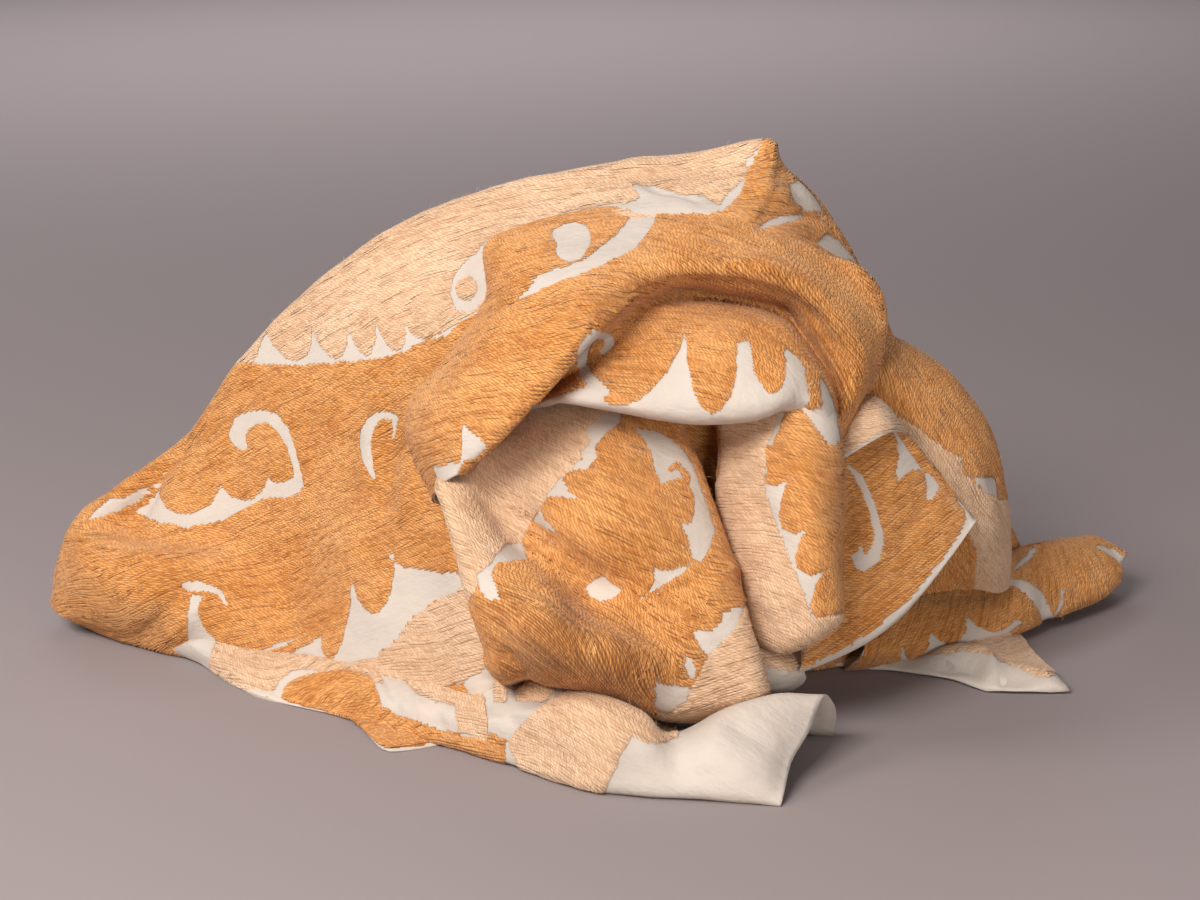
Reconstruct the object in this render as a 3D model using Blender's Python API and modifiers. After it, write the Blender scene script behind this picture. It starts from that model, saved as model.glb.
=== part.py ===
"""Suzani embroidered textile, thrown down in a heap. Metres, +Z up, X to the right along the front, Y to the back.

The cloth is one thin sheet of yarn-covered cotton. Each of its folds is lofted through a short table: a row for each
fold line, and in it one entry for each section across the fold. Fold lines that show are set out on the front view's
drawing sheet, as across, down and depth; those behind or below are given in plan, as x, y and z in centimetres. The
lofted folds are given the cloth's thickness, joined into one solid and cut level where they lie on the ground.
"""

import math

import bmesh
import bpy
import numpy as np

NAME = "suzani_cloth"

# ---- driving sizes
CLOTH_THICK = 0.003  # ground cotton with its laid yarn
SHEET_UNIT = 1.0  # the drawing sheet's unit; 1333 of them make a metre at the heap's middle
SHEET_MID = (600.0, 450.0)  # the drawing sheet's centre
SHEET_REACH = 2500.0  # the sheet's distance from the eye, in its units
EYE_REACH = 1.875  # the eye's distance from the aim point
EYE_TILT = math.radians(14.0)  # the eye looks down by this
AIM = (0.01, 0.0, 0.20)  # what the sheet's centre looks at
GROUND_CUT = 0.0  # everything under this level is cut away
FACES = 9800  # the joined cloth is thinned out to about this many, mostly small ones along the joins
YARN_COLOUR = (0.62, 0.33, 0.11, 1.0)  # golden ochre


def seen(across, down, depth):
    """A point that the front view shows at (across, down) on the drawing sheet, depth centimetres back from the aim."""
    y = depth / 100.0
    k = (SHEET_MID[1] - down * SHEET_UNIT) / SHEET_REACH
    c, s = math.cos(EYE_TILT), math.sin(EYE_TILT)
    w = (k * (EYE_REACH + y * c) - y * s) / (c + k * s)
    d = EYE_REACH + y * c - w * s
    return (
        AIM[0] + (across * SHEET_UNIT - SHEET_MID[0]) * d / SHEET_REACH,
        y,
        AIM[2] + w,
    )


def plan(x, y, z):
    return (x / 100.0, y / 100.0, z / 100.0)


# ---- the folds
# Each fold is (name, way of its rows, rows). A row is (name of the fold line, how it is given, entries).
DOME = [
    # sections run from the left toe up over the mound to its right foot
    ("back turned in", plan, [(-38, 22, .1), (-35.5, 26, .1), (-32, 30, .1), (-28, 33, .1), (-24.5, 35.5, .1), (-20, 33, .1), (-13, 36, .1), (-5, 33, .1), (3, 36.5, .1), (11, 36, .1), (19, 35, .1), (21.5, 34, .1), (26, 32, .1), (31, 28.5, .1), (34, 25, .1), (34.5, 21.5, .1), (33, 18.5, .1)]),
    ("back foot", plan, [(-40.5, 25, .3), (-38, 30.5, .4), (-34, 35, .5), (-29.5, 38.5, .6), (-25.5, 40.5, .8), (-20.5, 37, .8), (-13.5, 41, .8), (-5.5, 37.5, .8), (3, 42, .6), (11.5, 43, .3), (20, 40.5, .5), (22.5, 39.5, .6), (28, 36.5, .8), (34, 32, .8), (37.5, 27.5, .8), (38, 23.5, .7), (36, 20, .5)]),
    ("back low", plan, [(-42.3, 24.5, 1.6), (-39.8, 28, 3.8), (-35.3, 32.2, 5), (-30.8, 35.4, 5.6), (-26.2, 38.6, 7), (-20.7, 34.2, 7), (-14, 39.5, 7.5), (-6.3, 34, 8), (3, 38.5, 7.5), (11.2, 36.2, 6), (19.5, 37.5, 7.5), (22, 36.6, 7.7), (27, 34.3, 8), (33, 30.6, 8), (35.8, 26, 7), (36.5, 22, 4.5), (35, 19, 1.8)]),
    ("back crease", plan, [(-43.5, 23.4, 2.2), (-41, 25.6, 6), (-36, 29, 8.5), (-31.4, 31.4, 10), (-26.4, 35, 13.5), (-21, 30.6, 14), (-14.3, 36.2, 15), (-7, 31.2, 16), (2.6, 35.2, 16), (10.2, 31.4, 15), (18, 34, 16), (20.2, 32.6, 16), (24.5, 29.4, 15.5), (29.4, 26.6, 14), (31.6, 23, 12), (33.4, 20.4, 8), (33.6, 18, 2.4)]),
    ("back mid", plan, [(-44.3, 22.4, 2.6), (-41.8, 23.6, 7.6), (-37, 26.4, 10.6), (-32.2, 28, 13), (-26.8, 31.2, 18), (-21, 27.8, 21), (-14.5, 32, 23.5), (-7.2, 28, 25), (2.6, 32, 26.5), (9.6, 28.6, 27.5), (17, 29.4, 27.8), (18.8, 28.2, 27.2), (22.3, 25.4, 25), (26, 22.6, 21.6), (28.4, 20.4, 17.3), (31.2, 19, 10.5), (32, 17.2, 2.8)]),
    ("back high", plan, [(-44.9, 21.4, 2.8), (-42.4, 21.6, 8.6), (-37.8, 23.4, 12), (-32.8, 24.6, 15.6), (-27.2, 25.4, 21.4), (-21, 23.2, 27.4), (-14.6, 25.6, 31.2), (-7.2, 22.4, 33.8), (2.4, 24.6, 35.4), (9, 21.6, 36.6), (15.2, 20.4, 37), (16.8, 19.6, 36.2), (19.6, 18.2, 33.4), (22.6, 17.4, 28.3), (25, 16.8, 23), (28.4, 16.8, 13.5), (29.5, 16, 3.1)]),
    ("crown", seen, [(54, 596, 19.5), (70, 532, 18.5), (118, 488, 19.5), (183, 441, 20), (249, 350, 18), (325, 277, 16), (402, 224, 14.5), (495, 188, 13), (615, 165, 12), (700, 152, 11), (770, 140, 10), (782, 164, 10.4), (823, 206, 11), (864, 278, 12), (884, 345, 13), (889, 480, 15), (890, 590, 16)]),
    ("front high", seen, [(52, 603, 18.3), (80, 545, 15.8), (136, 514, 18.2), (203, 460, 16.6), (265, 378, 15), (335, 310, 12.5), (410, 255, 10.5), (495, 215, 9.5), (610, 184, 9), (700, 175, 8), (764, 166, 7.5), (778, 180, 7.7), (812, 212, 8), (848, 262, 9), (868, 335, 9), (876, 475, 11), (882, 596, 13.5)]),
    ("front upper", seen, [(55, 608, 17.2), (90, 568, 12.8), (146, 542, 14.4), (213, 504, 14.6), (280, 434, 12), (348, 365, 9), (415, 312, 7), (482, 265, 6.5), (604, 202, 6), (698, 196, 5), (755, 198, 4.5), (769, 208, 4.5), (797, 231, 4.5), (830, 280, 5), (852, 345, 5), (864, 480, 8), (876, 602, 12)]),
    ("front middle", seen, [(60, 613, 16.4), (99, 592, 11.8), (156, 572, 10.4), (224, 545, 12), (290, 498, 10.4), (352, 440, 6.8), (405, 382, 4.4), (450, 335, 3.4), (600, 235, 2), (700, 228, 1.5), (745, 238, 1), (757, 246, 1), (785, 265, 1), (815, 305, 1.5), (838, 365, 2), (850, 485, 5), (871, 608, 11)]),
    ("front lower", seen, [(68, 618, 15.9), (108, 614, 12), (163, 606, 9), (232, 592, 9.4), (296, 564, 8.8), (356, 520, 4.6), (412, 470, 1.2), (470, 450, 0), (600, 330, 1), (700, 330, 0), (748, 340, 0), (758, 343, 0), (780, 350, 0), (805, 370, 1), (830, 420, 3), (845, 530, 5.5), (868, 614, 10.5)]),
    ("front low", seen, [(80, 623, 16.2), (116, 631, 13.2), (168, 636, 10.2), (236, 634, 7.4), (300, 622, 5.2), (360, 598, 1.6), (424, 570, -2), (484, 560, -5), (600, 440, 1), (700, 430, 0), (756, 440, 0), (766, 443, 0), (790, 450, 0), (815, 460, 2), (836, 485, 3.6), (850, 568, 6.4), (866, 619, 10.5)]),
    ("front foot", seen, [(92, 626, 17.5), (124, 640, 15), (172, 655, 12), (238, 662, 8.5), (304, 668, 4.5), (366, 680, -0.5), (436, 690, -5), (500, 690, -8), (600, 560, 2), (710, 560, 2), (762, 570, 2), (773, 573, 2.3), (800, 580, 3), (822, 590, 3.6), (840, 600, 5.6), (856, 614, 8), (866, 623, 11)]),
    ("turned in", plan, [(-38, 20, .1), (-35, 18.5, .1), (-30, 15, .1), (-25, 12, .1), (-20, 9, .1), (-15, 4, .1), (-9.5, 0, .1), (-5, -1, .1), (2, 6, .1), (9, 6, .1), (14, 6, .1), (15.3, 6.3, .1), (18, 7, .1), (19.6, 7.8, .1), (21.2, 9.4, .1), (23, 11.4, .1), (24.5, 13, .1)]),
]

ARCH = [
    # sections run round the arch from its left foot over the top to its right tip
    ("behind", seen, [(446, 505, -1), (425, 418, 1), (455, 362, 2), (500, 305, 3), (512, 262, 5), (590, 236, 6), (662, 230, 6), (741, 244, 5), (800, 262, 5), (842, 296, 9), (848, 335, 10), (842, 390, 8), (834, 420, 5)]),
    ("outer edge", seen, [(433, 500, -5), (406, 418, -2), (440, 362, -1), (486, 298, 0), (490, 240, 3), (580, 213, 4.5), (660, 206, 4.5), (741, 220, 3.5), (808, 245, 3.5), (868, 276, 3.5), (884, 330, 3), (862, 405, 2.5), (842, 440, 0)]),
    ("crest", seen, [(438, 488, -8), (428, 425, -7.5), (470, 368, -7), (520, 305, -6), (545, 262, -3), (615, 240, -1), (690, 236, -1), (770, 250, -1.5), (835, 285, 0), (872, 322, .5), (874, 365, 0), (852, 418, -1), (839, 441, -3)]),
    ("roll front", seen, [(446, 480, -10), (470, 440, -11), (512, 388, -11), (562, 335, -10.5), (590, 296, -8), (650, 268, -5.5), (715, 266, -5), (785, 278, -5), (835, 312, -4), (860, 350, -3), (858, 390, -3), (845, 422, -3), (836, 440, -5)]),
    ("roll under", seen, [(456, 476, -10.5), (497, 441, -11.5), (545, 392, -11.5), (585, 345, -10.5), (620, 308, -8), (665, 288, -5), (722, 289, -4), (785, 302, -3.5), (818, 334, -3), (840, 365, -3), (846, 400, -3.5), (839, 424, -4), (833, 438, -6)]),
    ("valley", seen, [(463, 473, -10), (508, 432, -10), (551, 381, -9), (590, 342, -8), (630, 313, -4.5), (675, 297, -1.2), (725, 299, 0), (780, 312, 0), (806, 341, -.8), (826, 374, -2), (836, 405, -3), (835, 426, -4.5), (830, 438, -6.4)]),
    ("inner crest", seen, [(463, 468, -7), (508, 425, -6.4), (554, 379, -6.4), (597, 344, -5.8), (640, 327, -5), (690, 318, -5), (735, 322, -5.4), (776, 334, -5.4), (801, 352, -6), (819, 375, -6.6), (831, 402, -7), (834, 424, -7.2), (828, 440, -7.4)]),
    ("face", seen, [(463, 463, -4), (511, 420, -3.4), (556, 386, -5.2), (592, 364, -6.4), (640, 358, -7.6), (690, 354, -8.2), (738, 358, -8.8), (772, 366, -9), (792, 376, -9.2), (806, 390, -9.2), (818, 408, -9), (824, 424, -8.4), (822, 441, -7.6)]),
    ("lip", seen, [(468, 460, -2.4), (515, 418, -1.6), (541, 402, -4.8), (566, 396, -9), (628, 404, -10.4), (680, 412, -10.8), (738, 413, -11), (768, 409, -10.8), (784, 405, -10.2), (794, 408, -9.4), (802, 416, -8.6), (808, 428, -7.6), (810, 440, -6.8)]),
    ("curled under", seen, [(474, 458, -.6), (520, 417, -.2), (549, 407, -3.4), (570, 403, -6.4), (628, 412, -7.5), (680, 420, -7.5), (736, 420, -7.5), (766, 416, -7.5), (780, 411, -7), (788, 414, -7), (796, 422, -6.5), (804, 432, -6), (806, 442, -5.5)]),
    ("within", seen, [(480, 455, 1.6), (526, 416, 2), (562, 402, 2), (590, 380, 2), (630, 370, 2), (680, 370, 2), (730, 375, 2), (765, 380, 2), (780, 385, 2), (790, 395, 2), (800, 405, 2), (810, 415, 0), (815, 430, -2)]),
]

PANEL = [
    # the panel under the arch, top to bottom; sections run left to right
    ("under lip", seen, [(470, 470, 1), (462, 455, -2), (478, 440, -2), (505, 420, -1), (550, 395, 0), (605, 385, 0), (650, 392, 0), (676, 400, 0), (678, 400, 4)]),
    ("shoulder", seen, [(450, 478, -3), (438, 482, -9), (462, 478, -9), (496, 452, -6), (550, 430, -5), (605, 420, -4.8), (652, 422, -4), (682, 424, -3), (676, 424, 3)]),
    ("upper", seen, [(458, 512, -5), (446, 512, -11), (475, 512, -10.6), (510, 495, -7.6), (553, 478, -8), (605, 468, -8.8), (655, 466, -7.6), (697, 466, -5), (688, 466, 1)]),
    ("leaf", seen, [(468, 552, -7), (457, 552, -12.5), (490, 552, -12.6), (528, 540, -9.4), (562, 525, -10), (608, 518, -11.4), (665, 516, -10.6), (714, 512, -7.6), (704, 512, -1)]),
    ("trough", seen, [(477, 590, -8), (467, 590, -13.5), (505, 590, -15), (548, 588, -14.4), (590, 590, -11), (630, 580, -11.2), (680, 572, -11.6), (729, 560, -9.2), (718, 562, -2)]),
    ("bulge", seen, [(488, 620, -9), (478, 620, -14), (518, 620, -16.8), (565, 625, -17.6), (612, 634, -16.6), (648, 632, -13.2), (700, 618, -13), (745, 606, -10.8), (733, 612, -3)]),
    ("under bulge", seen, [(498, 650, -9), (489, 650, -13.8), (526, 655, -16.8), (575, 664, -17.6), (630, 676, -17), (668, 670, -15.2), (712, 660, -14), (757, 650, -12.2), (745, 655, -4)]),
    ("heel", seen, [(508, 666, -9), (499, 672, -12.6), (534, 680, -14), (585, 688, -14.4), (640, 706, -14.6), (680, 710, -14.4), (722, 702, -14), (766, 686, -12.8), (756, 688, -5)]),
    ("foot", seen, [(515, 672, -6), (510, 680, -8), (540, 682, -9.5), (590, 692, -10), (645, 714, -11), (685, 722, -11.6), (725, 720, -12), (768, 700, -11.6), (758, 698, -5)]),
]

LOOP = [
    # the hanging loop right of the panel, top to bottom
    ("under lip", seen, [(712, 385, 1), (712, 385, -3), (735, 385, -5), (770, 388, -6), (804, 382, -7.4), (828, 392, -5), (834, 405, 0)]),
    ("neck", seen, [(728, 430, 1), (718, 430, -3), (742, 430, -6), (768, 428, -8), (802, 420, -9.6), (837, 426, -7.8), (836, 432, -1)]),
    ("upper", seen, [(732, 480, 1), (718, 480, -4), (742, 480, -7.5), (767, 478, -9), (806, 474, -10.8), (841, 472, -8.4), (838, 476, -2)]),
    ("middle", seen, [(738, 540, 0), (723, 540, -5), (750, 540, -9), (780, 536, -10.5), (814, 532, -11.8), (841, 530, -9.2), (838, 532, -3)]),
    ("lower", seen, [(750, 592, -1), (737, 592, -6), (765, 595, -10.5), (799, 590, -12), (824, 584, -12.2), (841, 580, -10.2), (838, 582, -4)]),
    ("bottom", seen, [(765, 636, -2), (751, 638, -7), (779, 651, -10.5), (808, 642, -11.5), (828, 630, -11.5), (841, 620, -10), (838, 612, -4)]),
    ("turned up", seen, [(778, 622, -1.4), (768, 630, -3.6), (784, 640, -5), (804, 632, -5.4), (820, 622, -6), (830, 606, -6), (826, 596, -4.6)]),
]

FLAP = [
    # the three-cornered flap at the right, from its top down to its free edge
    ("behind", seen, [(838, 425, 2), (852, 412, 2.5), (868, 404, 3), (888, 415, 3), (905, 438, 3), (935, 472, 3)]),
    ("top", seen, [(834, 450, -1), (852, 432, -.5), (872, 420, 0), (892, 428, .5), (911, 443, 1), (941, 476, 2)]),
    ("upper", seen, [(830, 490, -4), (850, 475, -2), (878, 462, -1), (905, 464, 0), (928, 474, 1), (955, 495, 1.8)]),
    ("middle", seen, [(824, 550, -6), (846, 535, -4), (876, 518, -2.5), (910, 505, -1), (942, 503, .4), (966, 508, 1.5)]),
    ("lower", seen, [(815, 610, -8), (842, 592, -6), (876, 570, -4.2), (914, 548, -2.2), (950, 530, -.2), (973, 518, 1.2)]),
    ("free edge", seen, [(800, 673, -8.5), (836, 659, -7.6), (872, 640, -6), (908, 610, -4), (945, 565, -1.6), (977, 520, 1)]),
]

HOOD = [
    # the turned-over top of that flap
    ("behind", seen, [(848, 432, 3), (866, 408, 3), (885, 412, 3), (908, 440, 3)]),
    ("rim", seen, [(846, 428, -1), (866, 399, 0), (884, 405, .5), (907, 435, 1.4)]),
    ("front", seen, [(840, 446, -3.5), (862, 422, -2.6), (882, 418, -2), (902, 432, -.2)]),
    ("front edge", seen, [(839, 460, -5), (862, 447, -4.4), (882, 436, -3.4), (895, 431, -2)]),
]

TUBE = [
    # the tube at the right shoulder and the sheet that hangs from it; rows from its top down to its tip
    ("root", seen, [(850, 352, 16), (852, 340, 14), (866, 332, 9), (860, 352, 3), (856, 376, 2), (856, 396, 5), (850, 420, 8)]),
    ("shoulder", seen, [(872, 370, 18), (884, 352, 15), (909, 345, 9.5), (903, 370, 4), (892, 402, 3), (880, 424, 5), (862, 440, 8)]),
    ("bend", seen, [(893, 410, 18.5), (918, 385, 17), (956, 382, 11), (946, 410, 5), (924, 438, 4), (902, 456, 6), (872, 470, 9)]),
    ("elbow", seen, [(905, 465, 18.5), (938, 440, 18), (990, 434, 12.5), (978, 458, 6.5), (950, 480, 4.5), (918, 498, 6), (880, 505, 9)]),
    ("sleeve", seen, [(912, 520, 18.5), (950, 500, 18.5), (1003, 500, 13.5), (992, 514, 7.6), (965, 532, 5.5), (925, 545, 6.6), (885, 548, 9)]),
    ("skirt", seen, [(918, 560, 18.5), (958, 548, 18.5), (1007, 552, 14.5), (996, 562, 9), (972, 570, 7), (930, 574, 7), (888, 582, 9)]),
    ("tip", seen, [(922, 585, 18.5), (962, 578, 18.5), (1005, 584, 15), (998, 592, 10.6), (974, 588, 8.4), (932, 592, 7.4), (890, 606, 9)]),
]

TAIL = [
    # the long fold lying out to the right; rows from back to front, sections run out to its tip
    ("back foot", plan, [(23, 18, .1), (28, 20, .1), (32, 23, .1), (36, 26, .1), (40, 28.5, .3), (44, 30, 1), (46.6, 27.5, 2.6)]),
    ("back", plan, [(23, 15, 3.5), (28, 17, 3.6), (32, 20.5, 4), (36, 24, 4.2), (40, 27, 4.4), (44, 29, 4.8), (46.8, 27, 4)]),
    ("top", seen, [(880, 596, 11), (930, 590, 12), (985, 568, 16), (1025, 550, 20.5), (1064, 545, 23.5), (1102, 549, 26), (1122, 562, 26)]),
    ("front", seen, [(868, 626, 7.5), (925, 616, 9), (980, 602, 12), (1025, 588, 15.5), (1064, 580, 19), (1102, 574, 22.5), (1124, 569, 25.5)]),
    ("front low", seen, [(862, 654, 5.5), (922, 650, 7.5), (978, 642, 10), (1026, 626, 14), (1065, 612, 18), (1098, 598, 21.5), (1121, 580, 25)]),
    ("under", plan, [(20.5, 7.5, .1), (26, 9.2, .1), (30.5, 11.5, .3), (35, 16, .3), (39, 20.5, .5), (43, 24, 1), (46.4, 26, 2.4)]),
    ("turned in", plan, [(22, 12, .1), (27, 13, .1), (31, 15, .1), (35, 19, .1), (39, 23, .1), (42.5, 26, .5), (45.8, 27.2, 2)]),
]

HEM_FLAP = [
    # the border that spreads from under the long fold
    ("under fold", seen, [(845, 645, 10.5), (890, 640, 11), (940, 634, 12), (985, 628, 13), (1020, 634, 14.5)]),
    ("upper", seen, [(848, 649, 9.5), (892, 646, 9.6), (942, 642, 10), (990, 641, 10.4), (1029, 647, 10.6)]),
    ("lower", seen, [(850, 656, 8.8), (894, 656, 8.2), (944, 655, 7.8), (998, 661, 6.8), (1050, 669, 5.8)]),
    ("edge", plan, [(18.5, 8, .5), (22.4, 7.4, .5), (28.2, 5, .5), (31.6, 2.2, .5), (37.3, 2, .6)]),
    ("edge foot", plan, [(18.5, 8.2, .1), (22.4, 7.7, .1), (28.2, 5.4, .1), (31.6, 2.6, .1), (37.1, 2.4, .1)]),
    ("turned in", plan, [(18.5, 11, .1), (22, 11, .1), (27, 10, .1), (31, 8.6, .1), (34, 8.2, .1)]),
]

ROLL = [
    # the border roll along the front, rows from behind it, over it, to its underside; sections run left to right
    ("back foot", seen, [(190, 632, 17.5), (224, 644, 14.6), (272, 662, 8.6), (338, 676, 4), (405, 688, 0), (475, 706, -3), (545, 712, -6), (600, 718, -8), (646, 724, -9), (676, 728, -9), (724, 732, -8), (776, 734, -7.4), (833, 735, -7.2)]),
    ("behind", seen, [(186, 624, 14.6), (218, 636, 12.4), (262, 650, 8.4), (330, 664, 4), (400, 676, -1), (470, 685, -5), (540, 680, -9.4), (600, 692, -11.4), (644, 722, -11.6), (672, 734, -11.6), (722, 716, -11.4), (775, 708, -10.4), (836, 710, -9.6)]),
    ("top", seen, [(174, 620, 12), (208, 633, 9.8), (254, 650, 6.6), (330, 662, 1.6), (400, 680, -3.2), (468, 696, -8.2), (535, 701, -12.8), (592, 696, -15.4), (640, 713, -16.4), (668, 736, -16), (724, 708, -15), (775, 694, -13.6), (824, 695, -12.6)]),
    ("front", seen, [(165, 634, 10.8), (200, 648, 8), (250, 672, 3.4), (330, 688, -1.4), (400, 700, -6.4), (465, 714, -10.8), (525, 714, -15), (585, 714, -18.4), (640, 735, -19.2), (675, 752, -18.6), (720, 736, -18.6), (768, 728, -17.4), (811, 727, -15)]),
    ("front low", seen, [(164, 648, 11.2), (200, 661, 8.4), (254, 692, 1.8), (335, 708, -2.6), (405, 720, -7.6), (468, 734, -11.4), (530, 750, -15.4), (590, 766, -19), (640, 776, -20), (680, 780, -20.2), (720, 776, -20.6), (760, 770, -20.2), (792, 763, -18)]),
    ("contact", plan, [(-33.6, 12.6, .1), (-30.8, 9, .1), (-25.5, 1.6, .1), (-19, -3, .1), (-13.8, -7.5, .1), (-8.8, -10.8, .1), (-4, -15, .1), (.4, -18.4, .1), (4.2, -19.6, .1), (6.8, -20, .1), (9.8, -20.5, .1), (12, -21, .1), (13.4, -21.2, .1)]),
    ("turned in", plan, [(-32, 15, .1), (-28.4, 11, .1), (-23, 4, .1), (-17, -.5, .1), (-12, -4.5, .1), (-7, -7.6, .1), (-2.6, -11.4, .1), (2, -14.4, .1), (5, -15.8, .1), (7, -16.2, .1), (10, -16.4, .1), (12, -17, .1), (13.4, -18, .1)]),
]

CORNER = [
    # the cloth's corner that peeps out under the front roll
    ("inner", plan, [(-19, -2.4, .3), (-14.8, -4.8, .4), (-11.6, -6.6, .4), (-8.6, -8, .3)]),
    ("middle", plan, [(-18, -4, .35), (-14.9, -7.6, .5), (-12.4, -8.6, .5), (-9.4, -8.6, .35)]),
    ("edge", plan, [(-17, -5.4, .15), (-14.9, -10.3, .15), (-13, -10.5, .15), (-10, -9, .15)]),
]

SCRAP = [
    # the bit of border between the panel and the flap
    ("behind", seen, [(722, 640, -3), (748, 634, -3), (774, 640, -3.5), (800, 652, -4)]),
    ("top", seen, [(728, 648, -7), (752, 644, -7), (776, 650, -7.4), (800, 664, -7.6)]),
    ("middle", seen, [(732, 668, -8.4), (756, 666, -8.6), (784, 672, -8.4), (806, 676, -7)]),
    ("foot", seen, [(736, 700, -9), (760, 697, -8.6), (788, 692, -7.2), (803, 684, -5.6)]),
]

# (name, its fold lines, faces to each span across the fold lines, faces to each span along them)
FOLDS = [
    ("dome", DOME, 1, 2),
    ("arch", ARCH, 1, 2),
    ("panel", PANEL, 1, 2),
    ("loop", LOOP, 1, 2),
    ("flap", FLAP, 1, 2),
    ("hood", HOOD, 1, 2),
    ("tube", TUBE, 1, 2),
    ("tail", TAIL, 1, 2),
    ("hem_flap", HEM_FLAP, 1, 2),
    ("roll", ROLL, 1, 2),
    ("corner", CORNER, 1, 1),
    ("scrap", SCRAP, 1, 1),
]


def between(points, fine):
    """A smooth line through the points along the first axis, with fine steps in each span."""
    points = np.asarray(points, float)
    first, last = 2 * points[0] - points[1], 2 * points[-1] - points[-2]
    p = np.concatenate([first[None], points, last[None]])
    out = []
    for i in range(1, len(points)):
        a, b, c, d = p[i - 1], p[i], p[i + 1], p[i + 2]
        for t in np.arange(fine) / fine:
            out.append(
                0.5 * (2 * b + (c - a) * t + (2 * a - 5 * b + 4 * c - d) * t * t + (3 * b - 3 * c + d - a) * t ** 3)
            )
    out.append(points[-1])
    return np.array(out)


def loft(rows, across, along):
    """The grid of points of a sheet through its fold lines and sections."""
    net = np.array([[way(*entry) for entry in entries] for _, way, entries in rows])
    return between(between(net, across).transpose(1, 0, 2), along).transpose(1, 0, 2)


def sheet(name, grid, collection):
    """A grid of points as an open surface, given the cloth's thickness."""
    rows, columns = grid.shape[:2]
    index = np.arange(rows * columns).reshape(rows, columns)
    quads = np.stack([index[:-1, :-1], index[:-1, 1:], index[1:, 1:], index[1:, :-1]], -1).reshape(-1, 4)
    mesh = bpy.data.meshes.new(name)
    mesh.from_pydata(grid.reshape(-1, 3).tolist(), [], quads.tolist())
    body = bpy.data.objects.new(name, mesh)
    collection.objects.link(body)
    body.hide_render = True
    body.display_type = "WIRE"
    thick = body.modifiers.new("cloth", "SOLIDIFY")
    thick.thickness = CLOTH_THICK
    thick.offset = 0.0
    flat = body.modifiers.new("faces", "TRIANGULATE")
    flat.min_vertices = 4
    return body


def shells(bm):
    """The faces of a mesh, one list for each shell."""
    left = set(bm.faces)
    while left:
        todo = [left.pop()]
        shell = list(todo)
        while todo:
            face = todo.pop()
            for edge in face.edges:
                for other in edge.link_faces:
                    if other in left:
                        left.discard(other)
                        todo.append(other)
                        shell.append(other)
        yield shell


def held(shell):
    """The volume that a shell encloses, negative for the inside of a sealed pocket."""
    total = 0.0
    for face in shell:
        a = face.verts[0].co
        for b, c in zip(face.verts[1:-1], face.verts[2:]):
            total += a.dot(b.co.cross(c.co)) / 6.0
    return total


def main():
    for ob in list(bpy.data.objects):
        bpy.data.objects.remove(ob, do_unlink=True)
    made = bpy.data.collections.new("suzani_embroidered_textile")
    cutters = bpy.data.collections.new("cutters")
    for group in (made, cutters):
        bpy.context.scene.collection.children.link(group)

    # the folds, joined one after another
    folds = [sheet("fold_" + name, loft(rows, across, along), cutters) for name, rows, across, along in FOLDS]
    heap = folds[0]
    for fold in folds[1:]:
        join = heap.modifiers.new(fold.name, "BOOLEAN")
        join.operation = "UNION"
        join.solver = "EXACT"
        join.object = fold

    # what the ground would hold is cut away, so the cloth lies flat on it
    bpy.ops.mesh.primitive_cube_add(size=1.0, location=(0.0, 0.1, GROUND_CUT - 0.1))
    ground = bpy.context.object
    ground.name = "ground"
    ground.scale = (1.6, 1.4, 0.2)
    for group in list(ground.users_collection):
        group.objects.unlink(ground)
    cutters.objects.link(ground)
    ground.hide_render = True
    ground.display_type = "WIRE"
    level = heap.modifiers.new("level", "BOOLEAN")
    level.operation = "DIFFERENCE"
    level.solver = "EXACT"
    level.object = ground
    bpy.context.view_layer.update()
    joined = heap.evaluated_get(bpy.context.evaluated_depsgraph_get())
    thin_out = heap.modifiers.new("thin out", "DECIMATE")
    thin_out.ratio = FACES / sum(len(face.vertices) - 2 for face in joined.data.polygons)
    bpy.context.view_layer.update()

    # one body: the sealed pockets between touching folds are filled
    joined = heap.evaluated_get(bpy.context.evaluated_depsgraph_get())
    mesh = bpy.data.meshes.new_from_object(joined)
    mesh.name = NAME
    bm = bmesh.new()
    bm.from_mesh(mesh)
    bmesh.ops.triangulate(bm, faces=bm.faces)
    parts = sorted(shells(bm), key=held)
    for pocket in parts[:-1]:
        bmesh.ops.delete(bm, geom=pocket, context="FACES")
    loose = [v for v in bm.verts if not v.link_faces]
    bmesh.ops.delete(bm, geom=loose, context="VERTS")

    # the origin is the middle of the cloth's box, on the ground
    box = np.array([v.co for v in bm.verts])
    middle = (box.min(0) + box.max(0)) / 2
    bmesh.ops.translate(bm, verts=bm.verts, vec=(-middle[0], -middle[1], -box[:, 2].min()))
    bm.to_mesh(mesh)
    bm.free()
    mesh.shade_smooth()
    mesh.set_sharp_from_angle(angle=math.radians(50))

    cloth = bpy.data.objects.new(NAME, mesh)
    made.objects.link(cloth)
    yarn = bpy.data.materials.new("embroidered_cotton")
    yarn.use_nodes = True
    shader = yarn.node_tree.nodes["Principled BSDF"]
    shader.inputs["Base Color"].default_value = YARN_COLOUR
    shader.inputs["Roughness"].default_value = 0.92
    shader.inputs["Metallic"].default_value = 0.0
    mesh.materials.clear()
    mesh.materials.append(yarn)
    for fold in folds:
        bpy.data.objects.remove(fold, do_unlink=True)
    bpy.data.objects.remove(ground, do_unlink=True)
    return cloth


if __name__ == "__main__":
    main()
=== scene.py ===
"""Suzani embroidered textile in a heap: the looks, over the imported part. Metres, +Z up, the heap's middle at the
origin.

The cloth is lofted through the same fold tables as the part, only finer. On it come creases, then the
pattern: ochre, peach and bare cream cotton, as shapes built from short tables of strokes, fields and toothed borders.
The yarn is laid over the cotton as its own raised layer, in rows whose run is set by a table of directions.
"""

import math

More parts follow.
